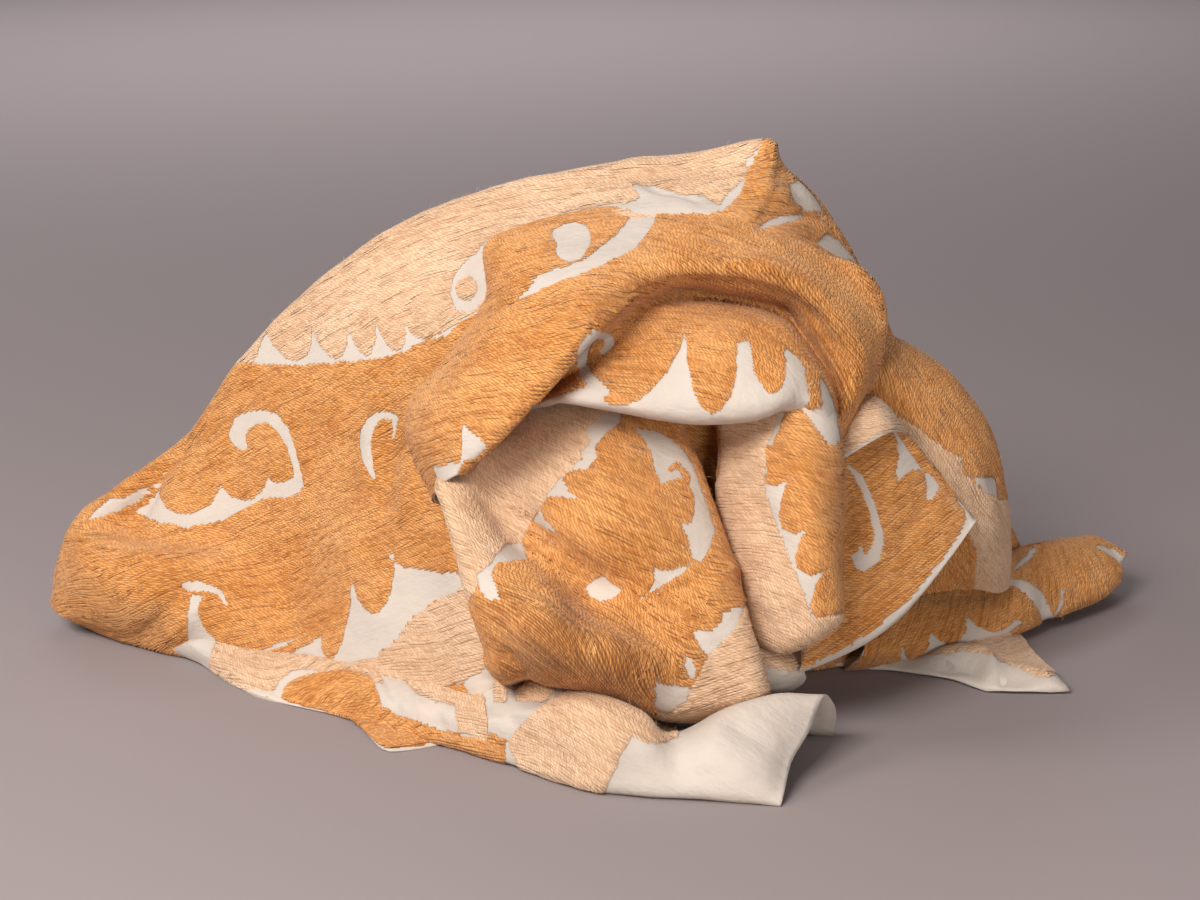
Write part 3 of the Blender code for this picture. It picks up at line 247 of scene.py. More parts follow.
# ---- creases: (folds, height in mm over the cloth or under it, half width on the drawing sheet, line)
CREASES = [
    ("dome", -7.0, 15, [(108, 524), (140, 532), (175, 538), (215, 539), (250, 545)]),
    ("dome", 6.5, 22, [(75, 575), (130, 566), (190, 569), (245, 578)]),
    ("dome", -7.0, 18, [(250, 548), (268, 575), (284, 600), (300, 625)]),
    ("dome", -5.0, 10, [(190, 585), (172, 604), (154, 622), (137, 640)]),
    ("dome", 4.0, 12, [(205, 600), (188, 622), (172, 645)]),
    ("dome", 4.0, 24, [(330, 520), (350, 560), (372, 600), (385, 640)]),
    ("dome", -4.5, 11, [(398, 415), (394, 450), (388, 490), (384, 520)]),
    ("dome", 4.0, 13, [(375, 420), (370, 455), (366, 490)]),
    ("dome", 3.5, 15, [(420, 430), (414, 470), (410, 520)]),
    ("dome", -9.0, 9, [(196, 437), (178, 450), (160, 474), (146, 496), (134, 512), (112, 520)]),
    ("dome", 4.0, 12, [(208, 448), (190, 466), (174, 488), (160, 505)]),
    ("dome", -3.0, 16, [(330, 292), (380, 262), (440, 240)]),
    ("dome", 3.0, 18, [(300, 320), (350, 292), (410, 268)]),
    ("dome", -2.5, 9, [(402, 300), (415, 330), (424, 352)]),
    ("dome", -3.5, 6, [(640, 184), (662, 192), (684, 196), (706, 202)]),
    ("dome", 3.0, 5, [(634, 190), (652, 196), (676, 201), (700, 207)]),
    ("dome", -2.5, 5, [(690, 186), (705, 193), (722, 204)]),
    ("dome", 2.5, 12, [(560, 190), (610, 180), (660, 172)]),
    ("dome", -3.0, 7, [(470, 262), (478, 275), (486, 290)]),
    ("dome", -4.0, 9, [(741, 222), (780, 217), (830, 212)]),
    ("dome", 3.0, 14, [(770, 180), (778, 195), (786, 207)]),
    ("arch", 3.5, 12, [(700, 214), (745, 224), (790, 236), (835, 262)]),
    ("arch", -4.0, 8, [(735, 224), (775, 233), (815, 246), (850, 266)]),
    ("arch", -6.0, 9, [(596, 312), (640, 291), (700, 284), (760, 290), (805, 312), (832, 350)]),
    ("arch", -2.5, 12, [(480, 300), (462, 330), (446, 360), (430, 395)]),
    ("arch", 2.5, 16, [(520, 300), (500, 330), (478, 365), (458, 400)]),
    ("arch", -2.0, 10, [(560, 285), (545, 305), (530, 325)]),
    ("arch", 2.0, 10, [(700, 262), (740, 266), (790, 276)]),
    ("arch", -2.2, 8, [(792, 300), (820, 330), (842, 362), (850, 395)]),
    ("arch", -2.5, 5, [(800, 404), (814, 420), (828, 440)]),
    ("arch", 2.0, 5, [(806, 398), (822, 416), (834, 436)]),
    ("panel", -9.0, 15, [(470, 470), (500, 507), (523, 533), (556, 566), (592, 602), (636, 634)]),
    ("panel", 6.0, 20, [(520, 480), (560, 515), (600, 548), (640, 578)]),
    ("panel", 7.0, 20, [(500, 610), (540, 630), (590, 650), (640, 660), (690, 650)]),
    ("panel", -5.0, 8, [(500, 645), (518, 664), (536, 682)]),
    ("panel", 4.0, 8, [(486, 652), (500, 672), (510, 690)]),
    ("panel", -3.5, 10, [(560, 600), (585, 628), (615, 652)]),
    ("panel", -4.0, 6, [(655, 572), (672, 572), (690, 566)]),
    ("panel", -4.0, 7, [(650, 590), (680, 588), (706, 574)]),
    ("panel", 4.0, 14, [(700, 600), (720, 580), (735, 560)]),
    ("panel", -3.5, 8, [(690, 634), (704, 652), (716, 672)]),
    ("panel", -2.5, 9, [(720, 640), (736, 664), (748, 690)]),
    ("panel", -2.0, 10, [(560, 450), (600, 440), (640, 446)]),
    ("loop", -2.5, 8, [(740, 470), (752, 500), (764, 530)]),
    ("loop", 2.5, 10, [(760, 440), (772, 480), (784, 520)]),
    ("loop", -2.0, 6, [(742, 560), (760, 575), (786, 580)]),
    ("loop", 2.0, 7, [(744, 590), (770, 603), (800, 600)]),
    ("loop", -2.0, 6, [(752, 612), (776, 624), (806, 620)]),
    ("flap", -3.0, 10, [(858, 480), (862, 520), (850, 560), (842, 600)]),
    ("flap", 2.5, 14, [(890, 480), (885, 520), (872, 560)]),
    ("flap", -2.0, 9, [(930, 490), (915, 525), (890, 560)]),
    ("tube", -2.0, 8, [(900, 360), (930, 390), (955, 430), (965, 460)]),
    ("tube", -3.0, 6, [(960, 470), (975, 500), (985, 540)]),
    ("tube", 2.5, 6, [(972, 468), (988, 500), (996, 545)]),
    ("tail", -3.0, 8, [(1040, 585), (1046, 605), (1040, 625)]),
    ("tail", 2.5, 10, [(1020, 575), (1028, 600), (1022, 620)]),
    ("tail", -2.5, 8, [(930, 600), (980, 592), (1020, 584)]),
    ("roll", -5.0, 6, [(508, 694), (518, 685), (530, 675)]),
    ("roll", 4.0, 8, [(522, 698), (532, 690), (545, 684)]),
    ("roll", 3.0, 8, [(496, 660), (500, 676), (502, 694)]),
    ("hem_flap", 9.0, 7, [(916, 665), (948, 657), (976, 656), (990, 663), (993, 676), (988, 686)]),
    ("hem_flap", -4.0, 5, [(938, 669), (964, 666), (978, 672)]),
    ("hem_flap", 7.0, 7, [(1002, 671), (1032, 676), (1058, 684)]),
    ("roll", -2.5, 5, [(388, 690), (396, 708), (392, 722)]),
    ("roll", 2.0, 4, [(380, 684), (388, 702), (384, 718)]),
    ("roll", -2.0, 4, [(404, 694), (412, 710), (408, 724)]),
    ("roll", -3.5, 10, [(470, 700), (500, 712), (520, 730)]),
    ("roll", -2.0, 6, [(426, 700), (436, 716), (440, 732)]),
    ("roll", -3.0, 10, [(726, 716), (750, 734), (778, 746)]),
    ("roll", 2.0, 14, [(700, 740), (730, 760), (750, 780)]),
    ("roll", -2.0, 8, [(660, 760), (690, 772), (720, 780)]),
    ("roll", -2.5, 9, [(240, 672), (262, 684), (280, 700)]),
]

# ---- the pattern
# Each row paints one shape over those before it: (folds, colour, kind, points, widths).
# "field" is a smooth closed outline, "patch" one with corners, "stroke" a smooth line with a half width at each point,
# and "toothed" a border: its base line, then its tips with the cups between them.
PATTERN = [
    ("dome", "peach", "patch", [(215, 352), (243, 364), (262, 365), (304, 366), (350, 362), (393, 357), (434, 335), (470, 317), (520, 300), (600, 262), (690, 232), (724, 207), (743, 182), (750, 168), (759, 152), (766, 128), (600, 110), (440, 150), (290, 240)], None),
    ("dome", "cream", "toothed", [(254, 364), (304, 366), (350, 361), (393, 357), (434, 336), (474, 316)], [(266, 330), (298, 361), (311, 325), (339, 358), (346, 312), (366, 356), (376, 319), (397, 352), (405, 319), (430, 340), (462, 318)]),
    ("dome", "cream", "patch", [(488, 240), (470, 257), (456, 273), (449, 294), (456, 311), (470, 313), (484, 300), (500, 260)], None),
    ("dome", "peach", "field", [(458, 282), (470, 278), (478, 288), (470, 300), (458, 298)], None),
    ("dome", "cream", "stroke", [(243, 446), (238, 434), (244, 422), (256, 417), (270, 418), (282, 428), (291, 446), (296, 466), (299, 484)], [5, 9, 9, 7, 6, 5.5, 4.5, 3, 5]),
    ("dome", "cream", "toothed", [(134, 511), (150, 520), (185, 528), (215, 522), (240, 512), (262, 500), (301, 494)], [(134, 510), (148, 504), (159, 488), (188, 514), (222, 483), (246, 500), (268, 477), (284, 482), (300, 470)]),
    ("dome", "cream", "stroke", [(374, 478), (369, 462), (366, 445), (368, 428), (377, 418), (388, 416), (396, 421), (393, 438)], [1.5, 5, 5.5, 5.5, 5, 4, 3, 1]),
    ("dome", "cream", "patch", [(86, 521), (96, 505), (106, 495), (124, 498), (150, 484), (143, 498), (120, 510), (104, 517)], None),
    ("dome", "cream", "stroke", [(112, 482), (134, 474), (158, 460)], [1, 3, 2]),
    ("dome", "cream", "stroke", [(185, 585), (195, 587), (208, 588), (218, 592), (227, 606)], [4, 6, 4.5, 3.5, 1]),
    ("dome", "cream", "patch", [(190, 594), (203, 596), (198, 610), (204, 626), (216, 641), (240, 650), (268, 655), (268, 676), (200, 672), (192, 655), (187, 622)], None),
    ("dome", "cream", "stroke", [(262, 652), (280, 644), (298, 636)], [1, 2.2, 1]),
    ("dome", "peach", "patch", [(270, 664), (330, 665), (378, 655), (396, 641), (412, 619), (434, 603), (478, 580), (520, 620), (530, 710), (480, 712), (400, 700), (330, 690)], None),
    ("dome", "cream", "toothed", [(274, 664), (300, 664), (330, 665), (358, 663), (378, 654), (396, 640), (412, 618), (434, 602), (474, 584)], [(276, 660), (298, 650), (321, 636), (338, 652), (352, 578), (380, 612), (395, 550), (406, 566), (470, 572)]),
    ("dome", "cream", "patch", [(455, 692), (470, 677), (484, 668), (497, 656), (522, 668), (530, 700), (470, 712)], None),
    ("dome", "ochre", "field", [(443, 690), (456, 684), (468, 688), (462, 694), (448, 696)], None),
    ("dome", "cream", "stroke", [(758, 151), (750, 162), (747, 168)], [1, 4.5, 1]),
    ("dome", "cream", "stroke", [(744, 181), (734, 194), (722, 207)], [1.5, 5.5, 4]),
    ("dome", "cream", "patch", [(789, 186), (797, 180), (813, 189), (836, 212), (802, 212), (794, 199)], None),
    ("dome", "cream", "patch", [(619, 206), (640, 198), (632, 186), (655, 187), (684, 196), (702, 196), (724, 208), (700, 216), (640, 216)], None),
    ("dome", "cream", "stroke", [(474, 262), (500, 238), (540, 224), (580, 213), (620, 206)], [2, 2.5, 2, 3, 3]),
    ("dome arch", "cream", "stroke", [(758, 229), (776, 222), (799, 216)], [1, 4.5, 2.5]),
    ("dome arch", "cream", "patch", [(815, 243), (827, 233), (838, 241), (848, 252), (859, 264), (838, 258)], None),
    ("arch", "cream", "field", [(552, 233), (562, 225), (577, 223), (588, 228), (590, 244), (581, 258), (568, 262), (558, 256), (556, 244)], None),
    ("arch", "cream", "stroke", [(648, 206), (642, 220), (628, 238), (610, 252), (588, 265), (560, 275), (538, 287), (520, 299)], [8, 12, 12, 9, 7, 6, 5, 1]),
    ("arch", "cream", "stroke", [(560, 272), (544, 277), (530, 282)], [5, 4, 1]),
    ("arch panel dome", "cream", "patch", [(463, 422), (471, 431), (484, 442), (487, 449), (474, 457), (461, 462)], None),
    ("arch panel dome", "cream", "patch", [(433, 466), (447, 464), (463, 459), (458, 472), (446, 488), (440, 488)], None),
    ("arch", "cream", "toothed", [(528, 414), (564, 416), (588, 420), (623, 426), (658, 432), (711, 436), (752, 432), (790, 424), (808, 410)], [(532, 406), (562, 394), (598, 384), (640, 399), (685, 328), (711, 413), (743, 337), (769, 393), (786, 352), (797, 380), (803, 398)]),
    ("arch", "cream", "patch", [(737, 343), (750, 341), (752, 358), (756, 376), (768, 391), (762, 412), (730, 404), (735, 384), (736, 362)], None),
    ("arch", "cream", "stroke", [(603, 354), (610, 344), (603, 335), (591, 338), (583, 350), (583, 366), (591, 381), (604, 392)], [3, 5, 4, 5, 5.5, 5.5, 6, 6]),
    ("arch", "cream", "stroke", [(786, 353), (796, 364), (801, 380), (803, 400)], [3, 6, 5, 6]),
    ("arch loop", "cream", "patch", [(798, 399), (808, 409), (819, 409), (822, 402), (820, 376), (829, 391), (836, 410), (840, 440), (829, 445), (816, 428), (803, 412)], None),
    ("panel", "peach", "patch", [(400, 380), (470, 370), (560, 370), (640, 370), (618, 404), (604, 418), (592, 436), (588, 452), (572, 468), (556, 486), (540, 508), (526, 530), (520, 552), (500, 562), (478, 582), (470, 602), (466, 680), (400, 680)], None),
    ("panel", "cream", "patch", [(622, 408), (600, 416), (586, 430), (590, 442), (581, 452), (582, 460), (568, 472), (586, 469), (598, 458), (595, 445), (606, 434), (620, 424)], None),
    ("panel", "cream", "patch", [(560, 478), (567, 489), (579, 498), (547, 497)], None),
    ("panel", "cream", "patch", [(533, 521), (540, 509), (546, 519), (558, 532), (544, 528)], None),
    ("panel", "cream", "patch", [(634, 430), (652, 431), (669, 438), (684, 451), (692, 466), (699, 484), (707, 505), (714, 528), (712, 544), (700, 562), (692, 557), (688, 542), (680, 524), (692, 521), (694, 502), (689, 486), (681, 479), (668, 482), (660, 486), (655, 470), (650, 452), (643, 438)], None),
    ("panel", "ochre", "stroke", [(686, 482), (683, 471), (675, 466), (669, 471)], [4, 3, 2.5, 1.5]),
    ("panel", "cream", "patch", [(654, 566), (668, 570), (695, 562), (680, 575), (664, 586), (640, 598), (654, 583)], None),
    ("panel", "cream", "field", [(585, 590), (594, 579), (605, 576), (611, 584), (621, 589), (613, 599), (598, 600)], None),
    ("panel", "cream", "patch", [(505, 544), (522, 544), (527, 560), (514, 562), (498, 563), (491, 575), (498, 589), (501, 601), (487, 600), (478, 588), (477, 574), (490, 565), (496, 555)], None),
    ("panel", "peach", "patch", [(744, 604), (752, 630), (766, 660), (776, 700), (740, 710), (700, 730), (664, 740), (656, 712), (686, 702), (693, 686), (704, 664), (712, 652), (724, 640), (736, 626)], None),
    ("panel", "cream", "patch", [(744, 606), (738, 624), (724, 639), (713, 651), (706, 658), (699, 645), (693, 631), (708, 632), (722, 622), (722, 612), (734, 607)], None),
    ("panel", "cream", "patch", [(686, 654), (692, 660), (696, 668), (693, 681), (688, 676), (684, 665)], None),
    ("panel", "cream", "patch", [(653, 680), (664, 684), (691, 687), (686, 701), (668, 713), (654, 706), (657, 694)], None),
    ("loop", "peach", "patch", [(650, 360), (800, 370), (792, 403), (778, 424), (767, 446), (765, 483), (776, 520), (788, 548), (800, 572), (808, 596), (813, 617), (846, 614), (850, 680), (700, 680), (660, 500)], None),
    ("loop", "cream", "toothed", [(766, 462), (765, 486), (772, 512), (782, 538), (792, 562), (802, 588), (812, 618)], [(768, 470), (772, 486), (794, 473), (781, 523), (812, 524), (798, 566), (829, 568), (812, 596), (816, 616)]),
    ("loop", "cream", "stroke", [(788, 404), (779, 422), (770, 446)], [1, 3, 1.5]),
    ("loop", "ochre", "patch", [(690, 400), (716, 410), (722, 440), (721, 470), (712, 492), (698, 500), (690, 450)], None),
    ("loop", "cream", "stroke", [(709, 424), (713, 442), (715, 462), (712, 480)], [3, 5, 4, 2]),
    ("scrap", "cream", "patch", [(700, 600), (820, 600), (830, 720), (700, 720)], None),
    ("scrap", "peach", "patch", [(720, 620), (790, 640), (812, 662), (790, 670), (766, 668), (730, 664)], None),
    ("flap", "cream", "stroke", [(847, 466), (859, 480), (868, 498), (875, 519), (878, 540), (873, 556), (862, 566), (855, 556)], [2, 4, 4.5, 4, 5, 7, 6, 3]),
    ("flap", "cream", "stroke", [(862, 562), (861, 551), (860, 541)], [5, 3, 0]),
    ("flap", "cream", "patch", [(893, 428), (901, 440), (911, 455), (923, 470), (912, 470), (903, 477), (897, 482), (895, 470), (899, 455), (896, 440)], None),
    ("flap", "cream", "patch", [(924, 470), (934, 478), (940, 487), (934, 498), (927, 501), (925, 488)], None),
    ("flap", "cream", "stroke", [(958, 499), (971, 512), (969, 529), (943, 568), (906, 610), (870, 640), (835, 658), (801, 673)], [2, 6, 6.5, 7, 6.5, 6.5, 5, 4]),
    ("hood", "peach", "patch", [(820, 380), (930, 380), (930, 480), (820, 480)], None),
    ("hood", "cream", "stroke", [(840, 459), (862, 447), (882, 436), (896, 430)], [2, 2, 2, 1]),
    ("tube", "peach", "patch", [(880, 408), (905, 419), (925, 434), (945, 449), (959, 458), (966, 475), (980, 490), (994, 498), (1012, 502), (1020, 560), (1010, 620), (960, 620), (900, 560), (880, 480)], None),
    ("tube", "ochre", "patch", [(920, 600), (930, 566), (946, 546), (968, 528), (977, 552), (974, 584), (960, 610)], None),
    ("tube", "cream", "patch", [(972, 478), (995, 476), (998, 500), (983, 491)], None),
    ("tail", "peach", "patch", [(958, 646), (985, 637), (1010, 633), (1020, 640), (1034, 656), (1052, 680), (1040, 700), (1000, 690), (970, 664)], None),
    ("tail", "cream", "toothed", [(898, 663), (925, 657), (945, 651), (962, 643), (985, 637), (1008, 633), (1022, 622)], [(903, 647), (918, 659), (930, 631), (956, 642), (965, 614), (995, 631), (1014, 611), (1020, 620)]),
    ("tail", "cream", "stroke", [(1010, 582), (1027, 589), (1040, 602), (1046, 616), (1044, 630)], [3, 6, 6.5, 5, 2]),
    ("tail", "cream", "stroke", [(1034, 550), (1023, 562), (1013, 571)], [3, 3, 1]),
    ("tail", "cream", "stroke", [(1062, 590), (1060, 606), (1052, 620)], [1, 2.5, 1]),
    ("tail", "cream", "stroke", [(1098, 547), (1116, 556), (1125, 568), (1124, 578)], [2, 4, 4, 2]),
    ("hem_flap", "cream", "patch", [(800, 600), (1120, 600), (1120, 720), (800, 720)], None),
    ("hem_flap", "peach", "patch", [(925, 600), (1030, 600), (1042, 640), (1064, 668), (1050, 677), (1042, 679), (1023, 671), (1004, 663), (984, 654), (962, 651), (930, 656), (914, 650)], None),
    ("roll", "cream", "patch", [(120, 560), (900, 560), (900, 840), (120, 840)], None),
    ("roll", "peach", "patch", [(216, 640), (262, 650), (330, 657), (378, 668), (384, 684), (330, 676), (296, 678), (284, 690), (274, 712), (240, 704), (220, 684), (208, 664)], None),
    ("roll", "cream", "stroke", [(317, 671), (300, 673), (286, 681), (279, 693), (272, 708)], [1, 3, 4, 5, 7]),
    ("roll", "ochre", "patch", [(281, 700), (284, 690), (292, 680), (310, 674), (345, 669), (372, 677), (377, 692), (384, 710), (404, 736), (340, 730), (296, 716)], None),
    ("roll", "ochre", "patch", [(384, 706), (400, 716), (440, 729), (478, 738), (492, 733), (506, 740), (506, 768), (440, 760), (388, 742)], None),
    ("roll", "peach", "patch", [(398, 668), (470, 684), (486, 698), (488, 741), (458, 733), (455, 705), (438, 703), (414, 692)], None),
    ("roll", "peach", "patch", [(492, 650), (503, 660), (507, 702), (494, 702)], None),
    ("roll", "peach", "patch", [(515, 692), (524, 680), (538, 670), (560, 676), (556, 692), (544, 702), (516, 703)], None),
    ("roll", "peach", "patch", [(508, 742), (530, 716), (553, 698), (577, 684), (604, 678), (640, 694), (672, 716), (680, 738), (656, 744), (632, 736), (622, 754), (610, 780), (602, 800), (556, 796), (520, 770)], None),
]

# The back's own pattern, on its own drawing sheet: across the crown from the left toe, and down from the crown.
BACK_PATTERN = [
    ("peach", "patch", [(372, -90), (1010, -90), (1040, 40), (1028, 118), (900, 150), (760, 142), (620, 158), (480, 146), (398, 120), (352, 40)], None),
    ("cream", "toothed", [(350, 60), (398, 122), (480, 148), (620, 160), (760, 144), (900, 152), (1028, 120), (1046, 30)], [(376, 40), (404, 96), (448, 76), (500, 128), (548, 92), (606, 136), (664, 92), (722, 128), (780, 86), (844, 128), (900, 88), (950, 118), (1006, 66), (1024, 40)]),
    ("cream", "stroke", [(150, 150), (176, 132), (206, 150), (196, 182), (160, 206), (120, 214)], [4, 6, 7, 6, 6, 2]),
    ("cream", "stroke", [(470, 290), (452, 262), (478, 236), (516, 242), (532, 278), (512, 318), (470, 338), (420, 330)], [3, 7, 7, 6, 7, 8, 6, 1]),
    ("peach", "field", [(640, 250), (720, 228), (800, 250), (838, 318), (800, 386), (720, 408), (640, 386), (602, 318)], None),
    ("cream", "stroke", [(640, 250), (720, 228), (800, 250), (838, 318), (800, 386), (720, 408), (640, 386), (602, 318), (640, 250)], [7, 5, 7, 5, 7, 5, 7, 5, 7]),
    ("ochre", "field", [(690, 300), (720, 284), (752, 300), (752, 338), (720, 354), (690, 338)], None),
    ("cream", "stroke", [(960, 300), (980, 268), (1014, 276), (1020, 312), (992, 338), (948, 344)], [3, 6, 7, 6, 6, 1]),
    ("cream", "stroke", [(1180, 180), (1160, 210), (1172, 246), (1204, 252)], [2, 6, 6, 2]),
    ("cream", "toothed", [(60, 330), (300, 380), (560, 470), (820, 480), (1080, 450), (1300, 380), (1500, 360)], [(80, 318), (140, 334), (196, 300), (262, 350), (320, 326), (390, 392), (450, 372), (530, 436), (600, 410), (680, 452), (760, 414), (840, 450), (920, 412), (1000, 436), (1080, 392), (1150, 404), (1220, 352), (1300, 364), (1400, 320), (1480, 350)]),
    ("peach", "patch", [(40, 336), (300, 386), (560, 476), (820, 486), (1080, 456), (1300, 386), (1520, 362), (1520, 700), (40, 700)], None),
]

# ---- where the yarn is rubbed to felt, with more fibres standing up, and where its colour is darkened with painted shade: (fold, across, down, how far it reaches, how much)
RUBBED_AND_SHADED = [
    ("panel", 560, 640, 52, 1.0),
    ("panel", 622, 668, 48, 0.95),
    ("panel", 522, 602, 32, 0.7),
    ("panel", 672, 640, 26, 0.5),
    ("arch", 700, 262, 44, 0.40),
    ("arch", 776, 276, 44, 0.45),
    ("arch", 842, 372, 34, 0.45),
    ("arch", 628, 276, 36, 0.30),
    ("tube", 900, 372, 30, 0.40),
    ("dome", 404, 430, 26, 0.40),
]

# ---- how the rows of yarn run: for each fold, (across, down, degrees up to the right), or one slope over the whole
RUNS = {
    "dome": [(240, 470, 30), (210, 400, 24), (350, 400, 36), (430, 370, 46), (300, 300, 26), (450, 240, 12), (600, 180, 5), (700, 170, 3), (780, 178, 16), (765, 200, 9), (830, 225, -25), (850, 265, -48), (330, 470, 30), (395, 460, 66), (420, 520, 44), (150, 560, 4), (80, 590, -12), (165, 625, 48), (240, 600, 10), (300, 560, 22), (340, 620, 34), (430, 640, -24), (380, 680, -16), (480, 690, -10)],
    "arch": [(480, 370, 10), (520, 330, 4), (440, 440, 20), (560, 300, 14), (520, 250, 10), (600, 220, 6), (620, 230, -5), (650, 260, -18), (700, 240, -28), (760, 250, -38), (800, 270, -45), (850, 310, -60), (855, 335, -66), (850, 380, -74), (840, 430, -80), (640, 360, 0), (710, 370, -2), (770, 370, -6), (812, 390, -40), (600, 300, 2), (720, 290, -4)],
    "panel": [(470, 500, -38), (520, 430, -16), (480, 600, -40), (600, 500, -27), (620, 445, -8), (560, 560, -34), (520, 620, -42), (600, 650, -64), (640, 700, -70), (680, 620, -32), (700, 580, -20), (700, 560, -24), (735, 650, 32), (700, 700, 26), (550, 400, -12)],
    "loop": [(740, 500, 4), (735, 560, 8), (720, 430, -10), (800, 430, -28), (800, 500, -28), (820, 560, -30), (820, 610, -26), (780, 630, 6)],
    "flap": [(870, 560, 38), (920, 520, 38), (860, 490, 44), (830, 620, 36), (940, 510, 40)],
    "hood": [(870, 430, 30)],
    "tube": [(880, 350, -56), (920, 390, -68), (960, 430, -74), (985, 470, -80), (995, 540, -26), (950, 480, -34), (920, 450, -34)],
    "tail": [(880, 650, 52), (920, 636, 56), (960, 620, 64), (1000, 600, 76), (1030, 605, 92), (1050, 600, 98), (1070, 585, 104), (1098, 572, 118), (1114, 582, 112), (1020, 572, 84), (1050, 560, 120), (1085, 552, 134), (1000, 640, 84)],
    "hem_flap": [(1000, 650, 30)],
    "roll": [(250, 680, -18), (320, 695, 50), (380, 710, 40), (450, 710, -16), (500, 745, -10), (580, 740, -34), (640, 720, -30)],
    "corner": [(400, 730, 10)],
    "scrap": [(770, 655, 10)],
}
BACK_SLOPE = 24.0  # the back's rows run up at this from the crown's own line


# ---- lofting
def span(p, i, t):
    """Points on the smooth line through p, at the fractions t of its span i."""
    a = p[i - 1] if i > 0 else 2 * p[0] - p[1]
    b, c = p[i], p[i + 1]
    d = p[i + 2] if i + 2 < len(p) else 2 * p[-1] - p[-2]
    t = t.reshape((-1,) + (1,) * (p.ndim - 1))
    return 0.5 * (2 * b + (c - a) * t + (2 * a - 5 * b + 4 * c - d) * t * t + (3 * b - 3 * c + d - a) * t**3)


def at_places(points, places):
    """Points on the smooth line through points along the first axis, at places counted in spans."""
    out = np.empty((len(places),) + points.shape[1:])
    index = np.clip(np.floor(places).astype(int), 0, len(points) - 2)
    for i in range(len(points) - 1):
        here = index == i
        if here.any():
            out[here] = span(points, i, places[here] - i)
    return out


def places_for(points, cells):
    """Places along the first axis with cells of about the given sizes, one size for each span; an even count of cells."""
    out = [0.0]
    for i in range(len(points) - 1):
        size = np.linalg.norm(points[i + 1] - points[i], axis=-1)
        steps = 2 * max(1, int(round(float(np.quantile(size, 0.6)) / cells[i] / 2)))
        out += [i + (k + 1) / steps for k in range(steps)]
    return np.array(out)


def net_of(rows):
    return np.array([[way(*entry) for entry in entries] for _, way, entries in rows])


def unit(v):
    return v / np.maximum(np.linalg.norm(v, axis=-1, keepdims=True), 1e-9)


class Fold:
    """One fold's surface at a chosen fineness, with its normals and its places in the table."""

    def __init__(self, name, cell, back_cell):
        self.name = name
        net = net_of(FOLDS[name])
        behind = BACK_ROWS.get(name, 0)
        row_cells = [back_cell if i < behind else cell for i in range(len(net) - 1)]
        self.rows = places_for(net, row_cells)
        self.cols = places_for(net.transpose(1, 0, 2), [cell] * (net.shape[1] - 1))
        self.at = at_places(at_places(net, self.rows).transpose(1, 0, 2), self.cols).transpose(1, 0, 2)
        self.turn()

    def turn(self):
        """Normals, on the side that faces the front view where the fold shows."""
        self.normal = unit(np.cross(np.gradient(self.at, axis=0), np.gradient(self.at, axis=1))) * SIDE[self.name]

    def slope(self, values):
        """The slope of a grid of values, as vectors along the surface."""
        tu, tv = np.gradient(self.at, axis=1), np.gradient(self.at, axis=0)
        du, dv = np.gradient(values, axis=1), np.gradient(values, axis=0)
        aa, bb, ab = (tu * tu).sum(-1), (tv * tv).sum(-1), (tu * tv).sum(-1)
        det = np.maximum(aa * bb - ab * ab, 0.02 * aa * bb + 1e-18)
        return tu * ((du * bb - dv * ab) / det)[..., None] + tv * ((dv * aa - du * ab) / det)[..., None]


def eye_place():
    c, s = math.cos(EYE_TILT), math.sin(EYE_TILT)
    return np.array(AIM) - EYE_REACH * np.array([0.0, c, -s])


# which way the cross product points on each fold: +1 or -1, so that the yarn is on the side that shows
SIDE = {name: 1.0 for name in FOLDS}
for name in FOLDS:
    probe = Fold(name, 0.02, 0.04)
    towards = unit(eye_place() - probe.at)
    first = int(np.searchsorted(probe.rows, BACK_ROWS.get(name, 0)))
    SIDE[name] = 1.0 if (probe.normal * towards).sum(-1)[first:].sum() > 0 else -1.0


# ---- unevenness: the same soft value noise wherever a point is asked for
def lattice(ix, iy, iz, seed):
    h = np.sin(ix * 127.1 + iy * 311.7 + iz * 74.7 + seed * 53.3) * 43758.5453
    return (h - np.floor(h)) * 2 - 1


def noise(points, size, seed):
    """Smooth noise between -1 and 1 in space, with bumps of about the given size."""
    q = points / size
    i = np.floor(q)
    f = q - i
    f = f * f * (3 - 2 * f)
    total = 0.0
    for dx in (0, 1):
        for dy in (0, 1):
            for dz in (0, 1):
                w = (
                    (f[..., 0] if dx else 1 - f[..., 0])
                    * (f[..., 1] if dy else 1 - f[..., 1])
                    * (f[..., 2] if dz else 1 - f[..., 2])
                )
                total = total + w * lattice(i[..., 0] + dx, i[..., 1] + dy, i[..., 2] + dz, seed)
    return total


# ---- shapes on a drawing sheet: each gives the distance inside its outline, less than nothing outside
def smooth_line(points, fine=6):
    p = np.array(points, float)
    out = [span(p, i, np.arange(fine) / fine) for i in range(len(p) - 1)]
    return np.concatenate(out + [p[-1:]])


def to_segments(q, a, b):
    """Distances from points q to the segments a-b, and how far along each the nearest place is."""
    ab = b - a
    t = ((q[:, None] - a) * ab).sum(-1) / np.maximum((ab * ab).sum(-1), 1e-9)
    t = np.clip(t, 0, 1)
    return np.linalg.norm(q[:, None] - (a + t[..., None] * ab), axis=-1), t


def in_stroke(q, points, widths):
    line = smooth_line(points)
    w = np.interp(np.arange(len(line)) / 6.0, np.arange(len(points)), widths)
    d, t = to_segments(q, line[:-1], line[1:])
    return (w[:-1] + (w[1:] - w[:-1]) * t - d).max(1)


